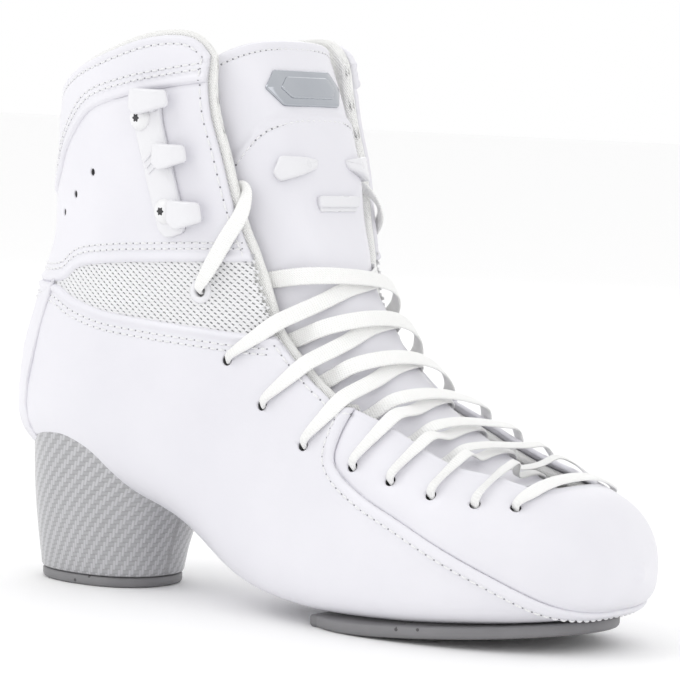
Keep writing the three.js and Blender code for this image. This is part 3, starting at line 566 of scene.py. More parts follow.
def make(name, points, faces, *materials, indices=None, route=None):
    mesh = bpy.data.meshes.new(name)
    mesh.from_pydata(row(points).tolist(), [], [list(map(int, f)) for f in faces])
    for material in materials:
        mesh.materials.append(material)
    if indices is not None:
        mesh.polygons.foreach_set("material_index", np.asarray(indices, np.int32))
    if route is not None:
        layer = mesh.attributes.new("route", "FLOAT_VECTOR", "POINT")
        layer.data.foreach_set("vector", (np.asarray(route, np.float32) * MM).ravel())
    mesh.polygons.foreach_set("use_smooth", [True] * len(mesh.polygons))
    mesh.update()
    obj = bpy.data.objects.new(name, mesh)
    bpy.context.scene.collection.objects.link(obj)
    return obj


BOOT_TO_CUFF = ("boot", "cuff", (0, 0, 0.0985), (0, 0, 0.1215))
BOOT_TO_TONGUE = ("boot", "tongue", (0, 0, 0.124), (0, 0, 0.136))


def place_in(obj, slot, moves, *nodes):
    """Ties a piece to its body, or bakes its transform in place where it would be blended between two bodies,
    and hides the nodes that it stands for; the slot is not used.
    """
    if isinstance(moves, tuple):
        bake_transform(obj)
    else:
        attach(obj, moves)
    if nodes:
        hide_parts(*nodes)


def tree_of(points):
    """The points in a tree that finds the nearest of them."""
    tree = kdtree.KDTree(len(points))
    for i, p in enumerate(points):
        tree.insert(p, i)
    tree.balance()
    return tree


def closed_tube(rows, count):
    """Faces of a tube of rings of points with a face over each end."""
    faces = grid_faces(rows, count, wrap=True).tolist()
    faces.append(list(range(count - 1, -1, -1)))
    faces.append(list(range((rows - 1) * count, rows * count)))
    return faces


def grid_faces(rows, columns, start=0, flip=False, wrap=False):
    i = np.arange(rows - 1)[:, None]
    j = np.arange(columns if wrap else columns - 1)[None]
    a = start + i * columns + j
    b = start + i * columns + (j + 1) % columns
    quads = np.stack([a, b, b + columns, a + columns], -1).reshape(-1, 4)
    return quads[:, ::-1] if flip else quads


def shell(outer, inner):
    """Two grids of points (rows, columns, 3) as one closed sheet with an edge all round."""
    rows, columns = outer.shape[:2]
    points = np.vstack([outer.reshape(-1, 3), inner.reshape(-1, 3)])
    n = rows * columns
    faces = [grid_faces(rows, columns), grid_faces(rows, columns, n, flip=True)]
    index = np.arange(n).reshape(rows, columns)
    rim = np.concatenate([index[0, :], index[1:, -1], index[-1, -2::-1], index[-2:0:-1, 0]])
    after = np.roll(rim, -1)
    faces.append(np.stack([after, rim, rim + n, after + n], -1))
    return points, np.vstack(faces)


EDGE_ROWS = np.array([0, 0.25, 0.6, 1.0, 1.5, 2.0, 2.5, 3.0, 3.6, 4.3, 5.0, 5.8, 6.8, 8.0])


def crowded(length, middle, edge=EDGE_ROWS):
    """Shares of a length, close together at both ends: edge rows at real distances and even steps between."""
    reach = min(edge[-1], length * 0.42)
    ends = edge / edge[-1] * reach / length
    inner = np.linspace(ends[-1], 1 - ends[-1], middle + 2)[1:-1]
    return np.concatenate([ends, inner, 1 - ends[::-1]])


class Panel:
    """A patch of the form between four lines on the disc: low and high run along it, start and end close
    it, and pairs are shares of low and of high that are joined by a column."""

    def __init__(self, low, high, start=None, end=None, columns=120, middle=30, edge_columns=False,
                 pairs=((0, 1), (0, 1))):
        self.lines = {"low": low, "high": high}
        reach = max(real_length(low), real_length(high))
        s = crowded(reach, columns) if edge_columns else np.linspace(0, 1, columns)
        c0, c1 = resample(low, 0, np.interp(s, pairs[1], pairs[0])), resample(high, 0, s)
        corners = c0[0], c0[-1], c1[0], c1[-1]
        start = np.stack([corners[0], corners[2]]) if start is None else start
        end = np.stack([corners[1], corners[3]]) if end is None else end
        self.lines.update(start=start, end=end)
        columns_q = []
        for k, share in enumerate(s):
            straight = np.linalg.norm(np.diff(on_form(np.linspace(c0[k], c1[k], 12)), axis=0), axis=1).sum()
            t = crowded(max(straight, 0.5), middle)
            d0, d1 = self.at(start, t), self.at(end, t)
            ruled = c0[k] * (1 - t[:, None]) + c1[k] * t[:, None]
            sides = d0 * (1 - share) + d1 * share
            base = (corners[0] * (1 - share) + corners[1] * share) * (1 - t[:, None])
            base = base + (corners[2] * (1 - share) + corners[3] * share) * t[:, None]
            columns_q.append(ruled + sides - base)
        self.q = np.stack(columns_q, 1)  # rows across, columns along
        self.shape = self.q.shape[:2]
        self.flat = self.q.reshape(-1, 2)

    @staticmethod
    def at(line, shares):
        p = on_form(line)
        length = run_along(p)
        at = shares * max(length[-1], 1e-9)
        return np.stack([np.interp(at, length, line[:, k]) for k in (0, 1)], -1)

    def distance(self, *names):
        """How far each point is from the nearest of the named lines."""
        lines = [self.lines[n] for n in names]
        return distance_to(on_form(self.flat), lines)

    def inset_at(self, q):
        """The inset of the panel's outer face at places on the disc, from the nearest points of its grid."""
        if not hasattr(self, "tree"):
            base = on_form(self.flat)
            self.tree = tree_of(base)
        out = []
        for p in on_form(q):
            near = self.tree.find_n(p, 4)
            weight = np.array([1 / (n[2] + 0.05) for n in near])
            out.append((self.inset[[n[1] for n in near]] * weight).sum() / weight.sum())
        return np.array(out)

    def faces_out(self):
        p = on_form(self.flat).reshape(*self.shape, 3)
        i, j = self.shape[0] // 2, self.shape[1] // 2
        cross = np.cross(p[i, j + 1] - p[i, j], p[i + 1, j] - p[i, j])
        return (cross * normal_at(self.q[i, j])[0]).sum() > 0

    def build(self, name, inset, inner, *materials):
        self.inset = np.broadcast_to(inset, (len(self.flat),))
        outer_points = on_form(self.flat, inset).reshape(*self.shape, 3)
        inner_points = on_form(self.flat, inner).reshape(*self.shape, 3)
        if not self.faces_out():
            outer_points, inner_points = outer_points[:, ::-1], inner_points[:, ::-1]
        points, faces = shell(outer_points, inner_points)
        return make(name, points, faces, *materials)


def distance_to(points, lines):
    dense = []
    for line in lines:
        count = int(real_length(line) / 0.3) + 2
        dense.append(on_form(resample(line, count)))
    dense = np.vstack(dense)
    tree = tree_of(dense)
    return np.array([tree.find(p)[2] for p in points])


def rolled(d, radius=1.1):
    """How far a surface falls away at a rounded edge, by distance from the edge."""
    inside = np.clip(radius - d, 0, radius)
    return radius - np.sqrt(np.maximum(radius**2 - inside**2, 0))


def ridge(d, at, height, width):
    return height * np.exp(-(((d - at) / width) ** 2))


def ease(d, start, end):
    t = np.clip((d - start) / (end - start), 0, 1)
    return t * t * (3 - 2 * t)


# ---------------------------------------------------------------- stitches

PITCH, EDGE_PITCH = 3.3, 4.4


def stitches(name, rows, moves, size=0.42, dots=0.3, pitch=PITCH, length=0.74):
    """Rows of thread, each row (line on the disc, its panel or the inset of the surface there): short rounded
    lengths that dive into small needle holes, where small dark discs are painted shade."""
    points, faces, kinds = [], [], []
    sides = 6
    ring = np.linspace(0, 2 * math.pi, sides, endpoint=False)
    stations = np.array([0, 0.12, 0.35, 0.65, 0.88, 1.0])
    thick = np.array([0.35, 0.85, 1, 1, 0.85, 0.35])
    sink = np.array([-1.0, -0.2, 0.35, 0.35, -0.2, -1.0])
    total = 0
    for line, inset in rows:
        whole = real_length(line)
        count = max(int(round(whole / pitch)), 1)
        marks = np.linspace(0, 1, count + 1)
        for k in range(count):
            mid = (marks[k] + marks[k + 1]) / 2
            half = (marks[k + 1] - marks[k]) / 2 * length
            q = resample(line, 0, mid + (stations * 2 - 1) * half)
            n = normal_at(q)
            level = inset.inset_at(q[[0, -1]]).mean() if isinstance(inset, Panel) else inset
            p = on_form(q, level) + n * (sink * size)[:, None]
            tangent = unit(np.gradient(p, axis=0))
            across = unit(np.cross(n, tangent))
            lift = np.cross(tangent, across)
            body_points = (p[:, None] + size * thick[:, None, None] * (
                across[:, None] * np.cos(ring)[None, :, None] + lift[:, None] * np.sin(ring)[None, :, None]))
            points.append(body_points.reshape(-1, 3))
            f = grid_faces(len(stations), sides, total, wrap=True)
            faces.extend(f.tolist())
            faces.append(list(range(total + sides - 1, total - 1, -1)))
            faces.append(list(range(total + (len(stations) - 1) * sides, total + len(stations) * sides)))
            kinds.extend([0] * (len(f) + 2))
            total += len(stations) * sides
        # A small dark disc sunk at each needle hole: painted shade in the hole.
        if dots:
            holes = resample(line, 0, marks)
            level = inset.inset_at(holes) if isinstance(inset, Panel) else np.full(len(holes), inset)
            p, n = on_form(holes, level - 0.05), normal_at(holes)
            tangent = unit(np.cross(n, [0.3, 1, 0.2]))
            across = np.cross(n, tangent)
            for centre, a, b, up in zip(p, tangent, across, n):
                circle = centre + dots * (np.cos(ring)[:, None] * a + np.sin(ring)[:, None] * b)
                points.append(np.vstack([circle, circle - up * 0.25]))
                f = grid_faces(2, sides, total, wrap=True)[:, ::-1]
                faces.extend(f.tolist())
                faces.append(list(range(total, total + sides)))
                faces.append(list(range(total + 2 * sides - 1, total + sides - 1, -1)))
                kinds.extend([1] * (len(f) + 2))
                total += 2 * sides
    place_in(make(name, np.vstack(points), faces, thread, needle_hole_shade, indices=kinds), "lace_cotton", moves)


def cut_holes(obj, centres, radius):
    """Punches round holes through a sheet: centres are places on the disc."""
    points, faces = [], []
    sides = 20
    ring = np.linspace(0, 2 * math.pi, sides, endpoint=False)
    for q in centres:
        p, n = on_form(q)[0], normal_at(q)[0]
        a = unit(np.cross(n, [0.1, 0.3, 1.0]))
        b = np.cross(n, a)
        circle = radius * (np.cos(ring)[:, None] * a + np.sin(ring)[:, None] * b)
        start = len(points) * 2 * sides
        points.append(np.vstack([p + circle - 8 * n, p + circle + 5 * n]))
        faces.extend(grid_faces(2, sides, start, wrap=True).tolist())
        faces.append(list(range(start + sides - 1, start - 1, -1)))
        faces.append(list(range(start + sides, start + 2 * sides)))
    cutter = make("cutter", np.vstack(points), faces)
    cut = obj.modifiers.new("punch", "BOOLEAN")
    cut.operation, cut.solver, cut.object = "DIFFERENCE", "EXACT", cutter
    graph = bpy.context.evaluated_depsgraph_get()
    result = bpy.data.meshes.new_from_object(obj.evaluated_get(graph))
    obj.modifiers.clear()
    old, obj.data = obj.data, result
    result.name = obj.name
    bpy.data.meshes.remove(old)
    bpy.data.objects.remove(cutter)
    obj.data.polygons.foreach_set("use_smooth", [True] * len(obj.data.polygons))


# ---------------------------------------------------------------- lines of the side view

FACING = [[95.2, 193], [94.8, 183.5], [96.6, 172.6], [101.6, 158.3], [108.4, 137.3], [114.7, 122.5],
          [121, 106], [124.7, 98.4], [133.4, 90.1], [140.2, 84.5], [147.3, 79.7], [153.6, 76.1],
          [159.2, 75.9]]
THROAT = [[159.2, 75.9], [174.5, 70.4], [186.2, 65], [198.2, 60.4], [211.3, 57.7], [226, 54.5], [232, 58]]
COLLAR = [[-30, 171], [4, 171.5], [15, 179.5], [30, 186.5], [46.5, 191.8], [71, 198.4], [86, 199.1],
          [91.3, 197], [95.2, 193]]
BAND = [[-20, 137], [3, 138.5], [15.4, 146.1], [23, 157.2], [30.4, 164.7], [40.6, 172.1], [62.2, 178],
        [78.3, 180.9], [94.8, 183.5]]
CUFF_HEM = [[-30, 110.5], [25.4, 110.5], [35.5, 115.8], [51.4, 118.3], [75.7, 120.2], [114.7, 122.5]]
QUARTER_TOP = [[-30, 108.3], [21.8, 108.8], [33.7, 104.9], [49.8, 101.5], [68.4, 100], [90.9, 98.8],
               [111.5, 97.8], [125.3, 97.6]]
VAMP_SEAM = [[158.9, 75.8], [156.6, 66.4], [156.4, 59.1], [160, 54.5], [171, 47.9], [190.1, 40.1],
             [210.4, 30.5], [227.5, 22.1], [237.8, 16.7], [246.4, 12.8], [256, 6]]
BACKSTAY = [[21.5, 111], [16.1, 106.8], [9.6, 103], [5, 95.3], [1.3, 88], [-1, 78], [-1.5, 66], [2, 44]]
TONGUE_EDGE = np.array([[80, 200], [83.5, 172], [89, 158], [96, 137], [103, 122], [110, 106], [117, 93],
                        [130, 82], [146, 72], [165, 64], [190, 54], [214, 46]])
EYELETS = [[107.1, 88.2], [123.8, 74.1], [143.2, 62.2], [164.1, 57.2], [179.6, 54], [195.6, 50.9],
           [210.7, 49.3], [222.7, 49]]
QUARTER_EYELETS = 3
RING_EYELET = [94.7, 111.2]
VENTS = [[42, 150.1], [30.9, 141.7], [22.1, 134.8]]
HOOK_SCREWS = [[69.1, 170.3], [80.9, 138.3]]
SIDES = {"lateral": 1, "medial": -1}


def medial_lead(x, z):
    """How far the medial facing stands forward of the lateral one."""
    if z >= 98:
        return np.interp(min(z, 165), [98, 165], [6, 9])
    return float(np.clip(np.interp(x, [124.7, 160], [6, 0]), 0, 6))


def led(points, side):
    if side > 0:
        return points
    return [[x + medial_lead(x, z), z] for x, z in points]


def collar_led(points, side):
    return [[x + (9 * (x - 46.5) / 48.7 if side < 0 and x > 46.5 else 0), z] for x, z in points]


def widened(points, extra):
    """A line of the side view moved sideways, to the left of its direction."""
    points = np.asarray(points, float)
    along = unit(np.gradient(points, axis=0))
    return points + extra * np.stack([-along[:, 1], along[:, 0]], -1)


def both_ways(line_of):
    """One line on the disc that runs down the lateral side, over the middle and up the medial side."""
    lateral, medial = line_of(1), line_of(-1)
    return np.vstack([lateral, medial[::-1][1:]])


def trimmed(line, start, end):
    """A line without its first and last millimetres."""
    whole = real_length(line)
    return resample(line, 0, np.linspace(start / whole, 1 - end / whole, len(line)))


def join(*lines):
    return np.vstack([lines[0]] + [line[1:] for line in lines[1:]])


FACING_AT_HEM, FACING_AT_QUARTER, FACING_AT_BAND = 5, 7, 1
upper_facing = {s: side_line(led(FACING[FACING_AT_BAND:FACING_AT_HEM + 1], s), s) for s in (1, -1)}
lower_facing = {s: side_line(led([[125.3, 97.6]] + FACING[FACING_AT_QUARTER + 1:], s), s) for s in (1, -1)}
quarter_top = {s: side_line(led_top, s) for s, led_top in
               ((1, QUARTER_TOP), (-1, QUARTER_TOP[:-1] + [led([QUARTER_TOP[-1]], -1)[0]]))}
hem = {s: side_line(CUFF_HEM[:-1] + [led([CUFF_HEM[-1]], s)[0]], s) for s in (1, -1)}
band_line = {s: side_line(BAND[:-1] + [led([BAND[-1]], s)[0]], s) for s in (1, -1)}
collar = {s: side_line(collar_led(COLLAR, s), s) for s in (1, -1)}
seam = {s: side_line(VAMP_SEAM, s) for s in (1, -1)}
throat = {s: side_line(THROAT, s) for s in (1, -1)}

seam_loop = both_ways(lambda s: seam[s])
top_loop = both_ways(lambda s: join(lower_facing[s][::-1], quarter_top[s][::-1]))
throat_loop = both_ways(lambda s: throat[s])
band_loop = both_ways(lambda s: band_line[s][::-1])
collar_loop = both_ways(lambda s: collar[s][::-1])


def spots(points, side):
    u, angle, _ = locate(points, side)
    return to_disc(u, angle)


eyelet_spots = {s: spots(EYELETS, s) for s in (1, -1)}
vent_spots = {s: spots(VENTS, s) for s in (1, -1)}


def dimples(flat, centres, depth, width):
    p = on_form(flat)
    total = np.zeros(len(p))
    for c in on_form(centres):
        total += depth * np.exp(-(((p - c) ** 2).sum(-1)) / width**2)
    return total


# ---------------------------------------------------------------- panels of the upper

ROW_ONE, ROW_TWO = 4.6, 6.6  # of stitches, from a piped edge
EDGE_ROW = 2.4  # of stitches, from a plain edge
PIPING = 1.5


def piped(d, height=0.75):
    """Inset of a sheet at an edge turned over a cord: a bead, the crease behind it, two stitch channels."""
    bead = -ridge(d, PIPING, height, 1.25)
    crease = ridge(d, 3.4, 0.28, 0.55)
    channels = ridge(d, ROW_ONE, 0.2, 0.4) + ridge(d, ROW_TWO, 0.2, 0.4)
    return rolled(d, 1.3) + bead + crease + channels


def plain_edge(d):
    return rolled(d, 0.9) + ridge(d, EDGE_ROW, 0.16, 0.45)


SEAM_BEND = 19  # from the corner of the quarter to where its seam turns forward
bend = SEAM_BEND / real_length(seam_loop)
corner = real_length(lower_facing[1]) / real_length(top_loop)
quarter = Panel(seam_loop, top_loop, columns=260, middle=46,
                pairs=((0, bend, 1 - bend, 1), (0, corner, 1 - corner, 1)))
d_seam = quarter.distance("low")
d_top = distance_to(on_form(quarter.flat), [both_ways(lambda s: quarter_top[s][::-1])])
d_facing = distance_to(on_form(quarter.flat), [lower_facing[1], lower_facing[-1]])
all_quarter_eyelets = np.vstack([eyelet_spots[s][:QUARTER_EYELETS] for s in (1, -1)])
quarter_inset = (piped(d_top) + plain_edge(d_facing) + rolled(d_seam, 1.0) - ridge(d_seam, 2.6, 0.5, 2.2)
                 - 0.5 * (1 - ease(d_seam, 3, 8)) + ridge(d_seam, 3.9, 0.2, 0.5)
                 + dimples(quarter.flat, all_quarter_eyelets, 0.7, 2.6))
quarter_inner = np.maximum(0.95 + 1.25 * ease(d_seam, 5, 8), quarter_inset + 0.15)
quarter_obj = quarter.build("quarter_panel", quarter_inset, quarter_inner, leather)
cut_holes(quarter_obj, all_quarter_eyelets, 2.0)
place_in(quarter_obj, "shell_leather", "boot", "quarter_shell")

under = {s: side_line(widened(smooth(VAMP_SEAM, 8), -3.0), s, 4) for s in (1, -1)}
vamp = Panel(throat_loop, both_ways(lambda s: under[s]), columns=200, middle=30)
d_throat = vamp.distance("low")
d_vamp_seam = distance_to(on_form(vamp.flat), [seam_loop])
vamp_eyelets = np.vstack([eyelet_spots[s][QUARTER_EYELETS:] for s in (1, -1)])
d_under = vamp.distance("high")
vamp_inset = (0.35 + rolled(d_throat, 1.0) + 0.9 * (1 - ease(d_under, 2.2, 3.4))
              + dimples(vamp.flat, vamp_eyelets, 0.8, 2.6)
              + 0.35 * (1 - ease(d_vamp_seam, 0, 4)) + ridge(d_throat, 2.6, 0.12, 0.5))
vamp_obj = vamp.build("vamp_panel_cover", vamp_inset, np.maximum(2.3, vamp_inset + 0.2), leather)
cut_holes(vamp_obj, vamp_eyelets, 1.9)
place_in(vamp_obj, "shell_leather", "boot", "vamp_panel")

cuff_stitches, boot_stitches, cuff_edge, boot_edge = [], [], [], []
for name, side in SIDES.items():
    low, high = hem[side], band_line[side]
    start = np.stack([low[0], high[0]])
    end = upper_facing[side][::-1]
    spine = resample(np.linspace(low[0], high[0], 20), 40)
    panel = Panel(low, high, start=spine, end=end, columns=90, middle=34, edge_columns=True)
    d_hem, d_front, d_spine = panel.distance("low"), panel.distance("end"), panel.distance("start")
    under_band = distance_to(on_form(panel.flat), [band_line[side]])
    inset = (piped(d_hem, 0.6) + plain_edge(d_front) + 0.35 * (1 - ease(under_band, 0, 2.5))
             + 0.5 * (1 - ease(d_spine, 0, 1.4)) + dimples(panel.flat, vent_spots[side], 0.45, 2.0))
    obj = panel.build(f"cuff_panel_{name}", inset, np.maximum(2.2, inset + 0.3), leather)
    cut_holes(obj, vent_spots[side], 1.35)
    place_in(obj, "shell_leather", "cuff", f"cuff_quarter_{name}")
    for at in (ROW_ONE, ROW_TWO):
        cuff_stitches.append((trimmed(offset_line(low, at, high), 0.8, 3.6), panel))
    cuff_edge.append((trimmed(offset_line(end, EDGE_ROW, start), 1, 1), panel))

band_ends = {s: side_line(led(FACING[:FACING_AT_BAND + 1], s), s) for s in (1, -1)}
band = Panel(band_loop, collar_loop, start=band_ends[1][::-1], end=band_ends[-1][::-1],
             columns=200, middle=16, edge_columns=True)
d_low, d_rim, d_ends = band.distance("low"), band.distance("high"), band.distance("start", "end")
band_inset = (piped(d_low, 0.45) - 0.55 * ease(d_low, 0, 0.1) + 0.25 * ease(d_low, 2, 12)
              + rolled(d_rim, 1.5) + ridge(d_rim, 3.0, 0.35, 0.7) - ridge(d_rim, 1.0, 0.25, 0.8)
              + plain_edge(d_ends) - ridge(d_rim, 8, 0.35, 4.0))
band_obj = band.build("collar_band_cover", band_inset, np.maximum(2.3, band_inset + 0.3), leather)
place_in(band_obj, "shell_leather", "cuff", "collar_band")
for at in (ROW_ONE, ROW_TWO):
    cuff_stitches.append((trimmed(offset_line(resample(band_loop, 300), at, collar_loop), 2, 2), band))
cuff_stitches.append((trimmed(offset_line(resample(collar_loop, 300), 3.0, band_loop), 4, 4), band))
spine_line = np.stack([band_loop[len(band_loop) // 2], collar_loop[len(collar_loop) // 2]])
for s in (1, -1):
    cuff_edge.append((trimmed(offset_line(resample(band_ends[s], 12), EDGE_ROW, spine_line), 1, 0.5), band))
stitches("cuff_edge_thread", cuff_edge, "cuff", dots=0.38, pitch=EDGE_PITCH)
stitches("cuff_thread", cuff_stitches, "cuff")

backstay_line = {s: side_line(BACKSTAY, s) for s in (1, -1)}
backstay = Panel(backstay_line[1], backstay_line[-1], columns=80, middle=24)
d_backstay = backstay.distance("low", "high")
d_backstay_ends = backstay.distance("start", "end")
backstay_inset = -0.95 + rolled(d_backstay, 0.9) + rolled(d_backstay_ends, 0.9)
backstay_obj = backstay.build("backstay_cover", backstay_inset, 0.2, leather)
place_in(backstay_obj, "shell_leather", "boot", "backstay")

for s in (1, -1):
    for at in (ROW_ONE, ROW_TWO):
        top_row = offset_line(resample(quarter_top[s], 120), at, seam[s])
        boot_stitches.append((trimmed(top_row, 0.5, 2.5), quarter))
    front_row = offset_line(resample(lower_facing[s], 60), EDGE_ROW, quarter_top[s])
    boot_edge.append((trimmed(front_row, 2, 1), quarter))
stitches("boot_edge_thread", boot_edge, "boot", dots=0.38, pitch=EDGE_PITCH)
boot_stitches.append((offset_line(resample(seam_loop, 260), 3.9, top_loop), quarter))
stitches("boot_thread", boot_stitches, "boot")

OPENING_EXTRA, RIM_EXTRA = 2.5, 1.9  # how far the lining reaches past the leather at its edges


def opening(side):
    facing = widened(smooth(led(FACING, side), 8), OPENING_EXTRA)
    tip = widened(smooth(collar_led(COLLAR, side), 8), RIM_EXTRA)[-1] + [0.4, -0.4]
    facing = np.vstack([tip, facing[facing[:, 1] < 190]])
    inner_throat = widened(smooth(THROAT, 8), -1.5)
    return join(side_line(facing, side, 3), side_line(inner_throat, side, 3))


rim_line = {s: side_line(widened(smooth(collar_led(COLLAR, s), 10), RIM_EXTRA), s, 3) for s in (1, -1)}
opening_loop = both_ways(opening)
rim_loop = both_ways(lambda s: rim_line[s][::-1])
lining = Panel(opening_loop, rim_loop, columns=220, middle=60)
d_open = lining.distance("low")
d_top_rim = lining.distance("high")
d_edge = np.minimum(d_open, d_top_rim)
lining_outer = 2.75 + 1.25 * ease(d_edge, 4, 8) + 0.9 * rolled(d_edge, 1.6)
lining_inner = (6.2 - 1.0 * rolled(d_edge, 1.7)
                + 0.5 * ease(d_top_rim, 2, 10) * (1 - ease(d_top_rim, 30, 60)))
lining_obj = lining.build("boot_lining", lining_outer, lining_inner, lining_cloth)
place_in(lining_obj, "lining_fabric", BOOT_TO_CUFF, "cuff_lining", "lower_lining")


# ---------------------------------------------------------------- ankle mesh

MESH_PITCH, MESH_ROW = 2.9, 1.1  # between pores along a row, and between rows
PORE_LONG, PORE_WIDE, PORE_SLANT = 0.7, 0.24, math.radians(-24)


def gusset(name, side):
    """A knitted strip between cuff and quarter: slanted pores in rows half a pitch apart, over a backing."""
    top, low = hem[side], quarter_top[side]
    outline_top = offset_line(resample(top, 90), -2.6, low)
    outline_low = offset_line(resample(low, 90), -2.6, top)
    front = side_line(widened(led(FACING[FACING_AT_HEM - 1:FACING_AT_QUARTER + 2], side), 0.2), side)
    low_z, high_z = on_form(outline_low)[:, 2].min(), on_form(outline_top)[:, 2].max()
    x_low, x_high = 14.0, 128.0
    rows = int((high_z - low_z) / MESH_ROW) + 1
    columns = int((x_high - x_low) / MESH_PITCH) + 1
    middle = []
    for r in range(rows):
        for c in range(columns):
            x = x_low + (c + 0.5 * (r % 2)) * MESH_PITCH
            middle.append((x, low_z + r * MESH_ROW))
    points, cells = [], []
    top_xz = on_form(outline_top)[:, [0, 2]]
    low_xz = on_form(outline_low)[:, [0, 2]]
    order_top, order_low = np.argsort(top_xz[:, 0]), np.argsort(low_xz[:, 0])
    facing_xz = on_form(front)[:, [0, 2]]
    order_front = np.argsort(facing_xz[:, 1])
    table = {}

    def vertex(x, z):
        key = (round(x, 3), round(z, 3))
        if key not in table:
            table[key] = len(points)
            points.append(key)
        return table[key]

    half_x, half_z = MESH_PITCH / 2, MESH_ROW / 2
    directions = [(1, 0), (1, 1), (0, 1), (-1, 1), (-1, 0), (-1, -1), (0, -1), (1, -1)]
    for x, z in middle:
        z_top = np.interp(x, top_xz[order_top, 0], top_xz[order_top, 1])
        z_low = np.interp(x, low_xz[order_low, 0], low_xz[order_low, 1])
        x_front = np.interp(z, facing_xz[order_front, 1], facing_xz[order_front, 0])
        if not (z_low < z < z_top and x < x_front - half_x * 0.4):
            continue
        ring = [vertex(x + dx * half_x, z + dz * half_z) for dx, dz in directions]
        hole = []
        for dx, dz in directions:
            a, b = np.array([dx, dz]) / math.hypot(dx, dz) * [PORE_LONG, PORE_WIDE]
            hx = a * math.cos(PORE_SLANT) - b * math.sin(PORE_SLANT)
            hz = a * math.sin(PORE_SLANT) + b * math.cos(PORE_SLANT)
            hole.append(vertex(x + hx, z + hz))
        for k in range(8):
            cells.append([ring[k], ring[(k + 1) % 8], hole[(k + 1) % 8], hole[k]])
    flat = np.array(points)
    u, angle, _ = locate_many(flat, side)
    q = to_disc(u, angle)
    obj_points = on_form(q, 1.35)
    ring_centre = on_form(spots([RING_EYELET], side))[0]
    keep = np.linalg.norm(obj_points - ring_centre, axis=1) > 2.3
    cells = [f if side < 0 else f[::-1] for f in cells if all(keep[v] for v in f)]
    obj = make(f"gusset_mesh_{name}_cloth", obj_points, cells, mesh_yarn)
    loose = obj.modifiers.new("thick", "SOLIDIFY")
    loose.thickness, loose.offset = 0.00055, -1
    settle(obj)
    place_in(obj, "gusset_mesh", BOOT_TO_CUFF)
    back = Panel(outline_low, outline_top, columns=60, middle=6)
    backing = back.build(f"gusset_backing_{name}", 2.1, 2.6, mesh_backing)
    face = on_form(back.flat, 2.1).reshape(*back.shape, 3)
    sides = np.diff(face, axis=0)[:, :-1], np.diff(face, axis=1)[:-1]
    area = np.linalg.norm(np.cross(*sides), axis=-1).sum()
    wide = np.linalg.norm(np.diff(face, axis=0), axis=-1).sum(0).max()
    long = max(area / wide, real_length(low))
    cut_holes(backing, spots([RING_EYELET], side), 2.2)
    place_in(backing, "gusset_mesh", BOOT_TO_CUFF, f"gusset_mesh_{name}")


def locate_many(points, side, batch=1500):
    parts = [locate(points[i:i + batch], side) for i in range(0, len(points), batch)]
    return tuple(np.concatenate([p[k] for p in parts]) for k in range(3))


def settle(obj):
    """Applies the modifiers of a piece."""
    graph = bpy.context.evaluated_depsgraph_get()
    result = bpy.data.meshes.new_from_object(obj.evaluated_get(graph))
    obj.modifiers.clear()
    old, obj.data = obj.data, result
    bpy.data.meshes.remove(old)
    result.name = obj.name


for name, side in SIDES.items():
    gusset(name, side)

# ---------------------------------------------------------------- turned and raised hardware


def stand(q, inset):
    """Place, outward direction and two directions across it at a place on the form."""
    p, n = on_form(q, inset)[0], normal_at(q)[0]
    up = unit(np.array([0, 0, 1.0]) - n * n[2])
    return p, n, np.cross(up, n), up


def turned(name, q, inset, profile, material, sides=32):
    """A turned piece standing on the form: profile rows are radius and height."""
    p, n, a, b = stand(q, inset)
    ring = np.linspace(0, 2 * math.pi, sides, endpoint=False)
    profile = np.asarray(profile, float)
    round_part = np.cos(ring)[:, None] * a + np.sin(ring)[:, None] * b
    points = p + profile[:, 0][:, None, None] * round_part[None] + (profile[:, 1][:, None] * n)[:, None]
    if np.allclose(profile[0], profile[-1]):
        faces = grid_faces(len(profile), sides, wrap=True).tolist()
    else:
        faces = closed_tube(len(profile), sides)
    return make(name, points.reshape(-1, 3), faces, material)


def drawn_in(outline, distance):
    """A closed outline moved inwards by a small distance."""
    along = unit(np.roll(outline, -1, axis=0) - np.roll(outline, 1, axis=0))
    sideways = np.stack([-along[:, 1], along[:, 0]], -1)
    x, y = outline.T
    turning = (x * np.roll(y, -1) - y * np.roll(x, -1)).sum()
    return outline + np.sign(turning) * sideways * distance


def rounded_outline(corners, radius, step=0.6):
    """A polygon with its corners rounded, as evenly spaced points."""
    corners = np.asarray(corners, float)
    points = []
    n = len(corners)
    for i in range(n):
        a, b, c = corners[i - 1], corners[i], corners[(i + 1) % n]
        r = min(radius, np.linalg.norm(a - b) * 0.45, np.linalg.norm(c - b) * 0.45)
        p, s = b + unit(a - b) * r, b + unit(c - b) * r
        for t in np.linspace(0, 1, 6):
            points.append((1 - t) ** 2 * p + 2 * t * (1 - t) * b + t * t * s)
    points.append(points[0])
    points = np.array(points)
    length = run_along(points)
    at = np.linspace(0, length[-1], int(length[-1] / step) + 1)[:-1]
    return np.stack([np.interp(at, length, points[:, k]) for k in (0, 1)], -1)


def raised(outline, place, low, high, bevel=0.7, tilt=None):
    """A slab that follows the form: place turns outline points into disc places; low and high are insets."""
    rows = [outline, outline, drawn_in(outline, bevel * 0.3), drawn_in(outline, bevel)]
    fall = [0, bevel, bevel * 0.3, 0, 0, 0, 0, 0]
    centre = outline.mean(0)
    rows += [centre + (rows[3] - centre) * share for share in (0.78, 0.52, 0.26, 0.04)]
    points = []
    for k, ring in enumerate(rows):
        inset = np.full(len(ring), float(low if k == 0 else high + fall[k]))
        if k > 0:
            if tilt is not None:
                inset = inset + tilt(ring)
        points.append(on_form(place(ring), inset))
    count = len(outline)
    faces = grid_faces(len(rows), count, wrap=True).tolist()
    faces.append(list(range((len(rows) - 1) * count, len(rows) * count)))
    faces.append(list(range(count - 1, -1, -1)))
    return np.vstack(points), faces


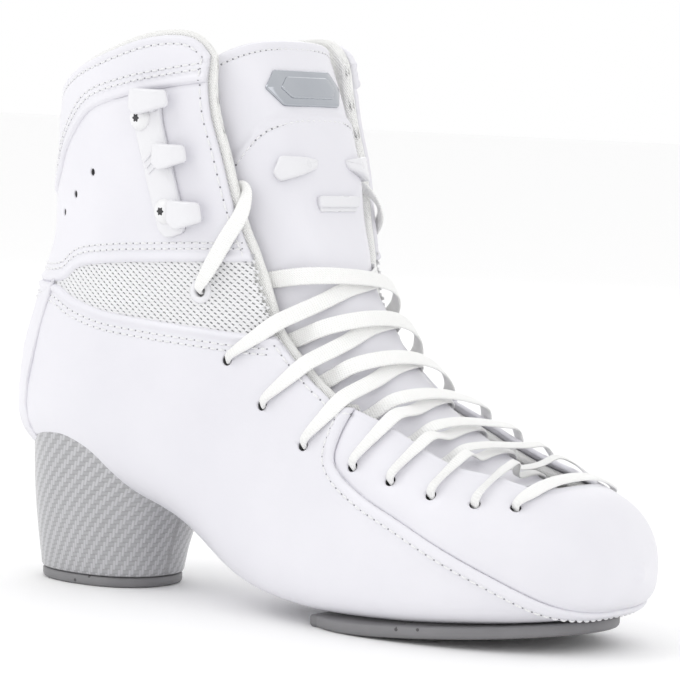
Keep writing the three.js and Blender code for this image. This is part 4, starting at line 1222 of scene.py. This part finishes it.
def joined(name, solids, material):
    points, faces, start = [], [], 0
    for p, f in solids:
        points.append(p)
        faces.extend([[v + start for v in face] for face in f])
        start += len(p)
    obj = make(name, np.vstack(points), faces, material)
    repair(obj)
    return obj


def repair(obj):
    """Turns every closed part's faces outwards."""
    work = bmesh.new()
    work.from_mesh(obj.data)
    bmesh.ops.recalc_face_normals(work, faces=work.faces)
    work.to_mesh(obj.data)
    work.free()


HOOK_PLATE = [[62.3, 178.6], [77.8, 131.4], [81.2, 128.7], [88.4, 131], [89.3, 134.5], [82.8, 154],
              [77.8, 170], [77, 179.6]]
HOOKS = [(65.5, 83.2, 173, 180.4, 1.6), (76.4, 91.6, 154.2, 161.6, 1.6), (83.4, 98.2, 134.4, 142.2, 2.2)]
BACKING = [[64.5, 175.5], [79, 133], [86.5, 133], [81, 154], [75.5, 170], [74.5, 175.5]]  # steel strip
PLATE_TOP, HOOK_UNDER, HOOK_TOP = 2.3, 3.9, 6.6
SCREW_DOME = [[4.3, -0.5], [4.5, 0.1], [4.35, 0.5], [3.7, 1.1], [3.2, 1.55], [2.5, 1.95], [1.7, 2.2],
              [1.15, 2.28], [1.0, 2.1], [0.9, 0.9], [0.3, 0.8]]
WASHER = [[2.0, -0.6], [4.2, -0.5], [4.35, 0.0], [4.25, 0.45], [3.7, 0.85], [2.9, 1.0], [2.3, 0.9],
          [2.05, 0.5], [2.0, -0.6]]
BORE_SIDES = 20


def on_side(side):
    def place(points):
        u, angle, _ = locate(points, side)
        return to_disc(u, angle)
    return place


for name, side in SIDES.items():
    place = on_side(side)
    solids = [raised(rounded_outline(HOOK_PLATE, 3.0), place, -0.15, -PLATE_TOP, bevel=0.8)]
    for rear, front, low, high, lean in HOOKS:
        cap = [[rear, low + 0.4], [rear + 4.6, low - lean], [front, low + 3.4 - lean], [front - 1.2, high],
               [rear + 0.6, high + 0.3]]
        neck = [[rear + 0.6, low + 0.4], [front - 6.5, low - 0.4], [front - 6, high - 0.5],
                [rear + 1, high - 0.3]]

        def rise(ring, rear=rear, front=front):
            x = ring[:, 0]
            return 1.3 * (1 - ease(x, rear, rear + 4.5)) + 1.5 * ease(x, front - 5, front)

        solids.append(raised(rounded_outline(cap, 1.5, 0.45), place, -HOOK_UNDER, -HOOK_TOP, 0.8, rise))
        neck = rounded_outline(neck, 1.2, 0.5)
        solids.append(raised(neck, place, -PLATE_TOP + 0.4, -HOOK_UNDER - 0.9, 0.3))
    for k in range(3):  # short ribs behind the middle hook
        x, z = 70.8 + 1.2 * k, 155.2 - 1.9 * k
        rib = [[x, z], [x + 3.6, z + 3.3], [x + 4.2, z + 2.7], [x + 0.6, z - 0.6]]
        solids.append(raised(rounded_outline(rib, 0.3, 0.4), place, -PLATE_TOP + 0.3, -PLATE_TOP - 0.5, 0.25))
    plate = joined(f"hook_plate_{name}_moulded", solids, plastic_white)
    place_in(plate, "white_plastic", "cuff", f"hook_plate_{name}")
    strip = raised(rounded_outline(BACKING, 2.0), place, 3.5, 2.5, bevel=0.3)
    backing = joined(f"hook_backing_{name}_strip", [strip], backing_metal)
    place_in(backing, "backing_steel", "cuff", f"hook_backing_{name}")
    for which, spot in zip(("upper", "lower"), HOOK_SCREWS):
        q = spots([spot], side)
        screw = turned(f"hook_screw_{name}_{which}_head", q, -PLATE_TOP, SCREW_DOME, screw_metal)
        place_in(screw, "screw_steel", "cuff", f"hook_screw_{name}_{which}")
        # A near-black star sunk in the screw head: painted shade in its socket.
        p, n, a, b = stand(q, -PLATE_TOP - 2.02)
        turns = np.linspace(0, 2 * math.pi, 36, endpoint=False)
        lobes = 1.28 + 0.26 * np.cos(6 * turns)
        star = p + lobes[:, None] * (np.cos(turns)[:, None] * a + np.sin(turns)[:, None] * b)
        count = len(turns)
        points = np.vstack([star - 1.4 * n, star + 0.28 * n])
        faces = grid_faces(2, count, wrap=True).tolist()
        faces += [list(range(count, 2 * count)), list(range(count - 1, -1, -1))]
        socket = make(f"screw_socket_{name}_{which}", points, faces, recess_shade)
        place_in(socket, "screw_steel", "cuff")
    q = spots([RING_EYELET], side)
    ring = turned(f"eyelet_ring_{name}_cap", q, 0.9, WASHER, plastic_white)
    repair(ring)
    place_in(ring, "white_plastic", "gusset", f"eyelet_ring_{name}")


def bores(name, places, radius, inset, body):
    """Short dark tubes with dark floors in the punched holes: painted shade inside the holes."""
    n_sides = BORE_SIDES
    ring = np.linspace(0, 2 * math.pi, n_sides, endpoint=False)
    here = np.arange(n_sides)
    after = (here + 1) % n_sides
    points, faces, start = [], [], 0
    profile = [(radius, 0), (radius, -2.6), (radius - 0.2, -2.6), (radius - 0.2, 0)]
    for q in places:
        p, n, a, b = stand(q, inset)
        circle = np.cos(ring)[:, None] * a + np.sin(ring)[:, None] * b
        for r, h in profile:
            points.append(p + n * h + r * circle)
        last = start + 3 * n_sides
        faces.extend(grid_faces(4, n_sides, start, wrap=True).tolist())
        faces.extend(np.stack([last + here, last + after, start + after, start + here], -1).tolist())
        floor_at = p - n * 2.5
        points.append(floor_at + (radius - 0.1) * circle)
        points.append(floor_at - n * 0.3 + (radius - 0.1) * circle)
        disc = start + 4 * n_sides
        faces.extend(grid_faces(2, n_sides, disc, wrap=True).tolist())
        faces.append(list(range(disc + n_sides - 1, disc - 1, -1)))
        faces.append(list(range(disc + n_sides, disc + 2 * n_sides)))
        start += 6 * n_sides
    obj = make(name, np.vstack(points), faces, recess_shade)
    repair(obj)
    place_in(obj, "backing_steel", body)


# Painted shade inside the eyelet and vent holes.
bores("eyelet_bores", all_quarter_eyelets, 1.98, 1.0, "boot")
bores("vamp_eyelet_bores", vamp_eyelets, 1.88, 1.4, "boot")
bores("vent_bores", np.vstack([vent_spots[1], vent_spots[-1]]), 1.33, 0.7, "cuff")

# ---------------------------------------------------------------- tongue

TONGUE_HALF, TONGUE_MIDDLE, TONGUE_TAPER = 31.0, 1.0, 1.5
TONGUE_TOP = np.array([[70, 177.4], [92, 193.6], [106.5, 202.0], [130, 205.5]])
TONGUE_STEPS, TONGUE_ROWS = 64, 150
ARC_ROW = -3.1  # of stitches, below the edge of the lower layer


def front_angle(u, y):
    """The angle at which a section of the front of the form stands at that y."""
    rows = spline(STATIONS, np.atleast_1d(u))
    half, power, sway = rows[:, 4], rows[:, 6], rows[:, 8]
    sin = np.clip(np.abs(y - sway) / half, 0, 0.9999) ** (power / 2)
    return -np.sign(y - sway) * np.arcsin(sin)


def tongue_width(u, sign):
    """How far the tongue reaches to one side at a station, from its middle."""
    z = form_point([u], [0])[0, 2]
    wide = TONGUE_HALF - TONGUE_TAPER * np.clip((z - 160) / 45, 0, 1)
    count = 90
    reach = np.linspace(0.5, 40, count)
    stations = np.full(count, u)
    angles = front_angle(stations, TONGUE_MIDDLE + sign * reach)
    p = form_point(stations, angles) - form_normal(stations, angles) * 9.4
    inside = p[:, 2] > np.interp(p[:, 0], TONGUE_EDGE[:, 0], TONGUE_EDGE[:, 1])
    inside &= np.abs(p[:, 1] - TONGUE_MIDDLE) < wide
    return reach[inside].max() if inside.any() else 0.5


def top_station(y):
    """Where the top edge of the tongue crosses the form at that y."""
    u = np.linspace(0, 5, 101)
    angle = front_angle(u, np.full(101, y))
    p = form_point(u, angle) - form_normal(u, angle) * 9.4
    over = p[:, 2] - np.interp(p[:, 0], TONGUE_TOP[:, 0], TONGUE_TOP[:, 1])
    return float(np.interp(0, -over, u))


u_scan = np.linspace(1, 13, 61)
reach_scan = {s: np.array([tongue_width(u, s) for u in u_scan]) for s in (1, -1)}
for s in reach_scan:
    reach_scan[s] = np.convolve(np.pad(reach_scan[s], 3, mode="edge"), np.ones(7) / 7, mode="valid")
TONGUE_START = 12.3


def tongue_places(narrower=0.0, steps=TONGUE_STEPS, rows=TONGUE_ROWS):
    """Places of a grid over the tongue: rows run from the fold at the toe end up to the top edge."""
    sign = np.linspace(-1, 1, steps)
    sign = np.sign(sign) * (1 - (1 - np.abs(sign)) ** 1.35)
    share = crowded(180, rows - 28)
    places = []
    for t in share:
        line_u, line_a = [], []
        for v in sign:
            s = 1 if v >= 0 else -1
            y_top = TONGUE_MIDDLE + v * np.interp(1.6, u_scan, reach_scan[s])
            top = top_station(y_top)
            u = TONGUE_START + (top - TONGUE_START) * t
            y = TONGUE_MIDDLE + v * (np.interp(u, u_scan, reach_scan[s]) - narrower)
            line_u.append(u)
            line_a.append(front_angle(u, y)[0])
        places.append((line_u, line_a))
    return np.array([p[0] for p in places]), np.array([p[1] for p in places])


LOWER_LAYER_TOP = [[0, 174.6], [8, 174.5], [16, 173.6], [22, 171.4], [25.2, 168.4], [27.5, 163.5],
                   [29.2, 156], [30, 147]]  # y and z of its edge


def tongue_grid(**sizes):
    """Places, points and directions of a grid over the tongue, and how far each is from its top and edges."""
    u, angle = tongue_places(**sizes)
    shape = (*u.shape, 3)
    base = form_point(u.ravel(), angle.ravel()).reshape(shape)
    normal = form_normal(u.ravel(), angle.ravel()).reshape(shape)
    sides = [np.linalg.norm(base - line, axis=-1) for line in (base[:, :1], base[:, -1:])]
    edge_top = np.linalg.norm(base - base[-1:], axis=-1)
    return u, angle, base, normal, edge_top, np.minimum(np.minimum(*sides), edge_top)


def tongue_cover():
    """The leather face of the tongue; gives its places, and how far each is over the lower layer's edge."""
    u, angle, base, normal, edge_top, edge = tongue_grid()
    seen = base - normal * 9
    y = seen[..., 1] - TONGUE_MIDDLE
    arc = np.interp(np.abs(y), *smooth(LOWER_LAYER_TOP).T)
    over = seen[..., 2] - arc
    step = 0.85 * (1 - ease(over, -0.5, 0.5))
    lip = ridge(over, -1.4, 0.35, 1.1) - ridge(over, ARC_ROW, 0.3, 0.6)
    middle_crease = 0.25 * np.exp(-((y / 9) ** 2)) * ease(base[..., 2], 100, 130)
    outer = (8.9 + 0.8 - step - lip + rolled(edge, 1.4)
             - ridge(edge_top, 1.6, 0.5, 1.5) + ridge(edge_top, 3.6, 0.3, 0.6)) - middle_crease
    front = base - normal * outer[..., None]
    rear = base - normal * (10.5 + 0 * outer)[..., None]
    points, faces = shell(front, rear)
    obj = make("tongue_cover_leather", points, faces, leather)
    repair(obj)
    place_in(obj, "shell_leather", BOOT_TO_TONGUE, "tongue_cover", "tongue_lower")
    return to_disc(u.ravel(), angle.ravel()).reshape(*u.shape, 2), over


tongue_q, tongue_over = tongue_cover()


def tongue_padding():
    """The foam and its cloth behind the tongue's leather."""
    _, _, base, normal, _, edge = tongue_grid(narrower=1.0, steps=48, rows=90)
    low = ease(base[..., 2], 92, 118)
    puff = 1.2 * ease(edge, 0, 6) * ease(base[..., 2], 120, 160)
    channel = sum(ridge(base[..., 2], z, 0.5, 1.2) for z in (150, 172))
    front = base - normal * (10.65 + 0.5 * rolled(edge, 1.5))[..., None]
    depth = 11.6 + 2.6 * low + puff * 0.4 - rolled(edge, 1.8) * 0.9 - channel * low
    rear = base - normal * depth[..., None]
    points, faces = shell(front, rear)
    obj = make("tongue_pad", points, faces, lining_cloth)
    repair(obj)
    place_in(obj, "tongue_foam", BOOT_TO_TONGUE, "tongue_padding")


tongue_padding()

top_stitch = offset_line(resample(tongue_q[-1], 60), 3.6, tongue_q[40])
arc_rows = []
for column in range(3, tongue_q.shape[1] - 3):
    heights = tongue_over[:, column]
    k = int(np.argmax(heights > ARC_ROW))
    if k:
        w = (ARC_ROW - heights[k - 1]) / (heights[k] - heights[k - 1])
        arc_rows.append(tongue_q[k - 1, column] * (1 - w) + tongue_q[k, column] * w)
tongue_stitches = [(top_stitch, 9.85), (np.array(arc_rows), 8.95)]
stitches("tongue_thread", tongue_stitches, BOOT_TO_TONGUE, size=0.32, dots=0.36)


def front_place(points):
    """Places on the disc where the tongue's face has these y and z, points of the front view."""
    points = np.asarray(points, float)
    u = np.linspace(0.5, 7, 131)
    start = []
    for y, z in points:
        p = form_point(u, front_angle(u, np.full(len(u), y)))
        at = float(np.interp(-z, -p[:, 2], u))
        start.append(to_disc([at], front_angle([at], y))[0])
    q = np.array(start)
    step = 0.02
    for _ in range(8):
        gap = points - on_form(q, TONGUE_FACE)[:, 1:]
        jx, jy = ((on_form(q + d, TONGUE_FACE) - on_form(q - d, TONGUE_FACE))[:, 1:] / (2 * step)
                  for d in np.array([[step, 0], [0, step]]))
        det = jx[:, 0] * jy[:, 1] - jx[:, 1] * jy[:, 0]
        q = q + np.stack([(gap[:, 0] * jy[:, 1] - gap[:, 1] * jy[:, 0]) / det,
                          (gap[:, 1] * jx[:, 0] - gap[:, 0] * jx[:, 1]) / det], -1)
    return q


GUIDE = [[-23.7, 153.2], [-21.7, 158.9], [-7.7, 158], [-9, 155], [-22.6, 150.1]]
KEEPER = [[-11, 141.4], [-10.8, 145.4], [10.8, 145.4], [9.6, 141.4]]
EMBLEM = [[-21, 182.6], [-16, 189], [14, 189], [19, 182.6], [14, 176.6], [-16, 176.6]]
TONGUE_FACE = 8.85

for name, sign in (("lateral", 1), ("medial", -1)):
    outline = [[sign * y + TONGUE_MIDDLE, z] for y, z in GUIDE][::sign]

    def lift(ring, sign=sign):
        return 1.9 * ease(sign * (ring[:, 0] - TONGUE_MIDDLE), -15, -7.5)

    part = raised(rounded_outline(outline, 1.1, 0.5), front_place, TONGUE_FACE, TONGUE_FACE - 3.0, 0.7, lift)
    guide = joined(f"tongue_guide_{name}_moulded", [part], plastic_white)
    place_in(guide, "white_plastic", "tongue", f"tongue_guide_{name}")

bar = [[y + TONGUE_MIDDLE, z] for y, z in KEEPER]
lip = [[y * 0.96 + TONGUE_MIDDLE, 140.1 if z < 143 else 142.4] for y, z in KEEPER]
keeper = joined("tongue_keeper_moulded", [
    raised(rounded_outline(bar, 0.9, 0.4), front_place, TONGUE_FACE, TONGUE_FACE - 2.4, bevel=0.6),
    raised(rounded_outline(lip, 0.6, 0.4), front_place, TONGUE_FACE, TONGUE_FACE - 1.1, bevel=0.4)],
    plastic_white)
place_in(keeper, "white_plastic", "tongue", "tongue_keeper")

plaque = [[y + TONGUE_MIDDLE, z] for y, z in EMBLEM]
inner = [[(y - TONGUE_MIDDLE) * 0.74 + TONGUE_MIDDLE, 182.8 + (z - 182.8) * 0.6] for y, z in plaque]
face = TONGUE_FACE + 0.75
emblem = joined("tongue_emblem_plaque", [
    raised(rounded_outline(plaque, 0.9, 0.6), front_place, face, face - 0.9, bevel=0.6),
    raised(rounded_outline(inner, 0.7, 0.6), front_place, face - 0.8, face - 1.5, bevel=0.6)], chrome)
place_in(emblem, "emblem_chrome", "tongue", "tongue_emblem")

# ---------------------------------------------------------------- laces

LACE_WIDTH, LACE_THICK, GATHER_WIDTH, GATHER_THICK, NARROWING = 6.0, 1.1, 2.9, 1.7, 0.13
UNDER, OVER = 7.55, -0.95
LACE_STEP = 0.9
SECTION = 16


def ribbon(name, stops, moves, node, steps=7):
    """A flat woven lace: stops are rows of point, direction of its width, width and thickness."""
    table = spline(stops, np.linspace(0, len(stops) - 1, (len(stops) - 1) * steps + 1))
    run = run_along(table[:, :3])
    at = np.linspace(0, run[-1], int(run[-1] / LACE_STEP) + 2)
    table = np.stack([np.interp(at, run, column) for column in table.T], -1)
    free = (ease(at, 3.5, 7) * ease(run[-1] - at, 1, 4))[1:-1, None]
    for _ in range(7):  # cotton takes no sharp bend
        table[1:-1] += free * ((table[:-2] + 2 * table[1:-1] + table[2:]) / 4 - table[1:-1])
    p, width, thick = table[:, 0:3], table[:, 6], table[:, 7]
    tangent = unit(np.gradient(p, axis=0))
    across = table[:, 3:6] - (table[:, 3:6] * tangent).sum(-1, keepdims=True) * tangent
    across = unit(across)
    lift = np.cross(tangent, across)
    turn = np.linspace(0, 2 * math.pi, SECTION, endpoint=False)
    cos, sin = np.cos(turn), np.sin(turn)
    flat_x, flat_y = np.sign(cos) * np.abs(cos) ** 0.55, np.sign(sin) * np.abs(sin) ** 0.75
    gathered = np.clip(1 - (width[:, None] - GATHER_WIDTH) / 2.2, 0, 1)
    fold = 0.22 * np.cos(3 * turn) * gathered
    points = (p[:, None] + across[:, None] * (flat_x[None, :] * width[:, None] / 2)[..., None]
              + lift[:, None] * ((flat_y[None, :] + fold) * thick[:, None] / 2)[..., None])
    run = run_along(p)
    route = np.stack([flat_x[None, :] * LACE_WIDTH / 2 + 0 * run[:, None], run[:, None] + 0 * turn[None],
                      0 * run[:, None] + 0 * turn[None]], -1)
    faces = closed_tube(len(p), SECTION)
    obj = make(name, points.reshape(-1, 3), faces, lace_cotton, route=route.reshape(-1, 3))
    repair(obj)
    place_in(obj, "lace_cotton", moves, node)


def inside(point, outline):
    x, y = point
    a, b = outline, np.roll(outline, -1, axis=0)
    crosses = ((a[:, 1] > y) != (b[:, 1] > y)) & (
        x < (b[:, 0] - a[:, 0]) * (y - a[:, 1]) / (b[:, 1] - a[:, 1] + 1e-12) + a[:, 0])
    return bool(crosses.sum() % 2)


def opening_outline(side):
    facing = widened(smooth(led(FACING[:-1], side), 2), 3.1)
    run = widened(smooth(led([FACING[-1]], side) + THROAT[1:], 2), 3.1)
    return np.vstack([facing, run, [[300, 60], [300, 260], [90, 260]]])


OPENINGS = {s: opening_outline(s) for s in (1, -1)}
DEPTHS = {1: (0.2, 6.2, 7.0, 7.3), -1: (0.18, 2.4, 4.2, 4.0)}
LAST_DEPTHS = {1: (0.1, 5.6, 7.0, 7.3), -1: (0.18, 2.4, 4.2, 3.4)}


def crossing(start, goal, side, depths, width):
    """One strand: out of an eyelet, over its own facing, across the tongue and under the far facing."""
    descent, early, middle, late = depths
    ua, aa, _ = locate([start], side)
    ub, ab, _ = locate([goal], -side)
    ua, aa, ub, ab = ua[0], aa[0], ub[0], ab[0]

    def at(share):
        return ua + (ub - ua) * share, aa + (ab - aa) * share

    shares = np.linspace(0, 1, 201)
    places = [form_point(*at(s))[0] for s in shares]
    is_open = [inside(p[[0, 2]], OPENINGS[1 if at(s)[1] > 0 else -1]) for s, p in zip(shares, places)]
    leave = next((s for s, o in zip(shares, is_open) if o or s >= 0.48), 0.48)
    enter = next((s for s, o in zip(shares[::-1], is_open[::-1]) if o or s <= 0.52), 0.52)
    span = enter - leave
    thick = LACE_THICK * math.sqrt(width / LACE_WIDTH)
    rows = [(0, 5.8, GATHER_WIDTH, GATHER_THICK), (0, 1.0, GATHER_WIDTH, GATHER_THICK),
            (0.015, OVER - 0.95, GATHER_WIDTH, GATHER_THICK),
            (0.35 * leave, OVER - 0.55, width * 0.74, thick * 1.15),
            (0.75 * leave, OVER - 0.25, width, thick), (leave, OVER, width, thick),
            (leave + descent * span, early, width, thick), (leave + 0.4 * span, middle, width, thick),
            (leave + 0.6 * span, middle, width, thick), (leave + 0.84 * span, late, width, thick),
            (enter, UNDER, width, thick), ((enter + 1) / 2, UNDER, width * 0.8, thick),
            (0.965, UNDER, GATHER_WIDTH, LACE_THICK)]
    stops = []
    for share, inset, w, t in rows:
        u, a = at(share)
        here = form_point(u, a)[0]
        ahead = form_point(u + (ub - ua) * 0.02, a + (ab - aa) * 0.02)[0]
        n = form_normal(u, a)[0]
        across = np.cross(n, unit(ahead - here))
        stops.append([*(here - n * inset), *across, w, t])
    return np.array(stops)


for name, side in SIDES.items():
    for k in range(len(EYELETS) - 1):
        goal = RING_EYELET if k == 0 else EYELETS[k - 1]
        width = LACE_WIDTH * (1 - NARROWING * max(k - 2, 0))
        depths = (LAST_DEPTHS if k == len(EYELETS) - 2 else DEPTHS)[side]
        stops = crossing(EYELETS[k], goal, side, depths, width)
        ribbon(f"lace_{name}_strand_{k + 1}", stops, "boot", f"lace_{name}_{k + 1}")

LACE_END = [[94.7, 111.2, 5, 2.6, 0], [94.8, 111.4, -1.6, 3.0, 0], [97.5, 115.8, -2, 5.0, 0],
            [101.5, 122.5, -1.9, 6, 0.3], [106.5, 131, -1.8, 6, 0.6], [110.4, 137.6, -1.2, 5.8, 0.9],
            [111.2, 142.6, 1.2, 5, 1], [110.6, 146.6, 4.6, 4.2, 1], [107, 148.4, 7.4, 4.2, 1],
            [100, 141, 7.55, 5, 0.6], [94.5, 130, 7.55, 6, 0.3]]


def along_form(stops, side):
    route = [[x + (share * medial_lead(x, z) if side < 0 else 0), z] for x, z, _, _, share in stops]
    u, angle, _ = locate(route, side)
    n = form_normal(u, angle)
    p = form_point(u, angle) - n * np.array([s[2] for s in stops])[:, None]
    across = unit(np.cross(n, np.gradient(p, axis=0)))
    size = np.array([[s[3], LACE_THICK] for s in stops])
    return np.hstack([p, across, size])


for name, side in SIDES.items():
    ribbon(f"lace_end_{name}_strand", along_form(LACE_END, side), BOOT_TO_CUFF, f"lace_end_{name}")

ends = [locate([EYELETS[-1]], s) for s in (1, -1)]
bar_rows = [(0, 3, GATHER_WIDTH), (0.01, OVER - 0.5, GATHER_WIDTH)]
bar_rows += [(i / 8, OVER, 4.8) for i in range(1, 8)]
bar_rows += [(0.99, OVER - 0.5, GATHER_WIDTH), (1, 3, GATHER_WIDTH)]
bar_stops = []
for share, inset, w in bar_rows:
    u = ends[0][0][0] * (1 - share) + ends[1][0][0] * share
    a = ends[0][1][0] * (1 - share) + ends[1][1][0] * share
    n = form_normal(u, a)[0]
    across = np.cross(n, (form_point(u, a - 0.02) - form_point(u, a + 0.02))[0])
    bar_stops.append([*(form_point(u, a)[0] - n * inset), *unit(across), w, LACE_THICK])
ribbon("lace_toe_strand", np.array(bar_stops), "boot", "lace_toe_bar")

# ---------------------------------------------------------------- heel, plates and footbed

HEEL_SECTIONS = [(3.9, 30.3, -2.8, 26.6, 22.6), (16, 30.6, -2.6, 28.6, 24.6), (30, 32.2, -2, 31.8, 27.4),
                 (44, 36, -1.4, 36.6, 30), (60, 41, -1, 42.4, 32)]
HEEL_SIDES = 96


def heel_ring(z, draw_in=0.0):
    """The heel's outline at a height, or at one height for each of its sides."""
    z = np.broadcast_to(np.asarray(z, float), (HEEL_SIDES,))
    z_of = [s[0] for s in HEEL_SECTIONS]
    _, cx, cy, a, b = spline(HEEL_SECTIONS, np.interp(z, z_of, range(len(z_of)))).T
    turn = np.linspace(0, 2 * math.pi, HEEL_SIDES, endpoint=False)
    cos, sin = np.cos(turn), np.sin(turn)
    power = 2 / 2.3
    x = cx + (a - draw_in) * np.sign(cos) * np.abs(cos) ** power
    y = cy + (b - draw_in) * np.sign(sin) * np.abs(sin) ** power
    return np.stack([x, y, z], -1)


def heel_crown():
    """The height at which each side of the heel has run into the form."""
    surface = POINTS[90:330:2, ::3].reshape(-1, 3)
    outward = NORMALS[90:330:2, ::3].reshape(-1, 3)
    tree = tree_of(surface)
    crown = np.full(HEEL_SIDES, 66.0)
    for z in np.arange(66, 30, -0.5):
        for k, p in enumerate(heel_ring(z)):
            _, i, _ = tree.find(p)
            if (p - surface[i]) @ outward[i] < -1.3:
                crown[k] = z
    spread = np.concatenate([crown[-3:], crown, crown[:3]])
    return np.maximum(crown, np.convolve(spread, np.ones(7) / 7, mode="valid"))


def build_heel():
    """The heel, closed below and running up into the form."""
    rings = []
    for z, d in ((4.0, 0.9), (4.3, 0.3), (5.0, 0.0)):
        rings.append(heel_ring(z, d))
    crown = heel_crown()
    for share in np.linspace(0, 1, 16)[1:]:
        rings.append(heel_ring(5 + (crown - 5) * share))
    points = np.stack(rings)
    around = np.linalg.norm(np.diff(points[5], axis=0, append=points[5][:1]), axis=1)
    run = np.concatenate([[0], np.cumsum(around)[:-1]])
    route = np.stack([np.broadcast_to(run, points.shape[:2]), points[..., 2], 0 * points[..., 0]], -1)
    faces = closed_tube(len(rings), HEEL_SIDES)
    obj = make("heel_block_shell", points.reshape(-1, 3), faces, heel_fibre, route=route.reshape(-1, 3))
    repair(obj)
    place_in(obj, "heel_composite", "boot", "heel_block")


build_heel()


def bevelled(name, outlines, heights, node, bend=None):
    """A plate from outlines in plan at rising heights."""
    count = len(outlines[0])
    points = []
    for outline, z in zip(outlines, heights):
        level = np.full(count, float(z))
        if bend is not None:
            level = level + bend(outline[:, 0])
        points.append(np.column_stack([outline, level]))
    obj = make(name, np.vstack(points), closed_tube(len(outlines), count), plate_grey)
    repair(obj)
    place_in(obj, "plate_plastic", "boot", node)


def shrunk(outline, by):
    return outline - unit(outline - outline.mean(0)) * by


plan = heel_ring(3.9)[:, :2]
bevelled("heel_plate_moulded", [shrunk(plan, by) for by in (1.7, 0.95, 0.6, 0.4, 0.4, 1.0)],
         [0, 0.3, 0.8, 1.4, 3.25, 3.75], "heel_plate")

SOLE_OUTLINE = [(148, -33), (159, -37.5), (175, -38.5), (195, -36), (214, -30), (230, -19), (239, -6),
                (241, 8), (236, 21), (224, 32), (206, 39), (185, 41), (165, 39), (149, 33), (146, 29),
                (146, -29)]


def closed_smooth(points, count=160):
    """A closed outline through the points, as evenly spaced points."""
    points = np.asarray(points, float)
    n = len(points)
    ext = np.vstack([points[-2:], points, points[:2]])
    curve = spline(ext, np.linspace(2, n + 2, n * 10 + 1))[:-1]
    whole = np.vstack([curve, curve[:1]])
    length = run_along(whole)
    at = np.linspace(0, length[-1], count + 1)[:-1]
    return np.stack([np.interp(at, length, whole[:, k]) for k in (0, 1)], -1)


def toe_spring(x):
    return 6.5 * (np.clip(x - 160, 0, None) / 80) ** 1.3


sole = closed_smooth(SOLE_OUTLINE)
bevelled("sole_plate_moulded", [shrunk(sole, by) for by in (1.6, 0.7, 0.25, 0, 0, 0.5)],
         [0.0, 0.3, 0.8, 1.4, 3.6, 4.2], "sole_plate", bend=toe_spring)


def footbed():
    """The cushioned insole, just under the lining of the floor."""
    steps_u, steps_y = 90, 34
    u = np.linspace(7.2, 15.1, steps_u)
    outer, inner = [], []
    for k, uu in enumerate(u):
        across = np.linspace(-1, 1, steps_y)
        across = np.sign(across) * (1 - (1 - np.abs(across)) ** 1.5)
        angle = math.pi - across * 0.86
        angle = np.where(angle > math.pi, angle - 2 * math.pi, angle)
        base = form_point(np.full(steps_y, uu), angle)
        n = form_normal(np.full(steps_y, uu), angle)
        sides = [np.linalg.norm(base - base[last], axis=-1) for last in (0, -1)]
        d = np.minimum(np.minimum(*sides), min(k, steps_u - 1 - k) * 1.2)
        outer.append(base - n * 5.4)
        inner.append(base - n * (8.8 - 0.9 * rolled(d, 2.6))[:, None])
    points, faces = shell(np.array(outer), np.array(inner))
    obj = make("footbed_cushion", points, faces, foam)
    repair(obj)
    place_in(obj, "footbed_foam", "boot", "footbed")


footbed()

# ---------------------------------------------------------------- nodes kept from the CAD

KEPT = {"heel_counter": board, "toe_puff": board, "lasting_board": board, "lace_tip_lateral": tip_plastic,
        "lace_tip_medial": tip_plastic}
for o in list(bpy.context.scene.objects):
    node = o.get("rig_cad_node")
    if node in KEPT:
        for slot in o.material_slots:
            slot.material = KEPT[node]
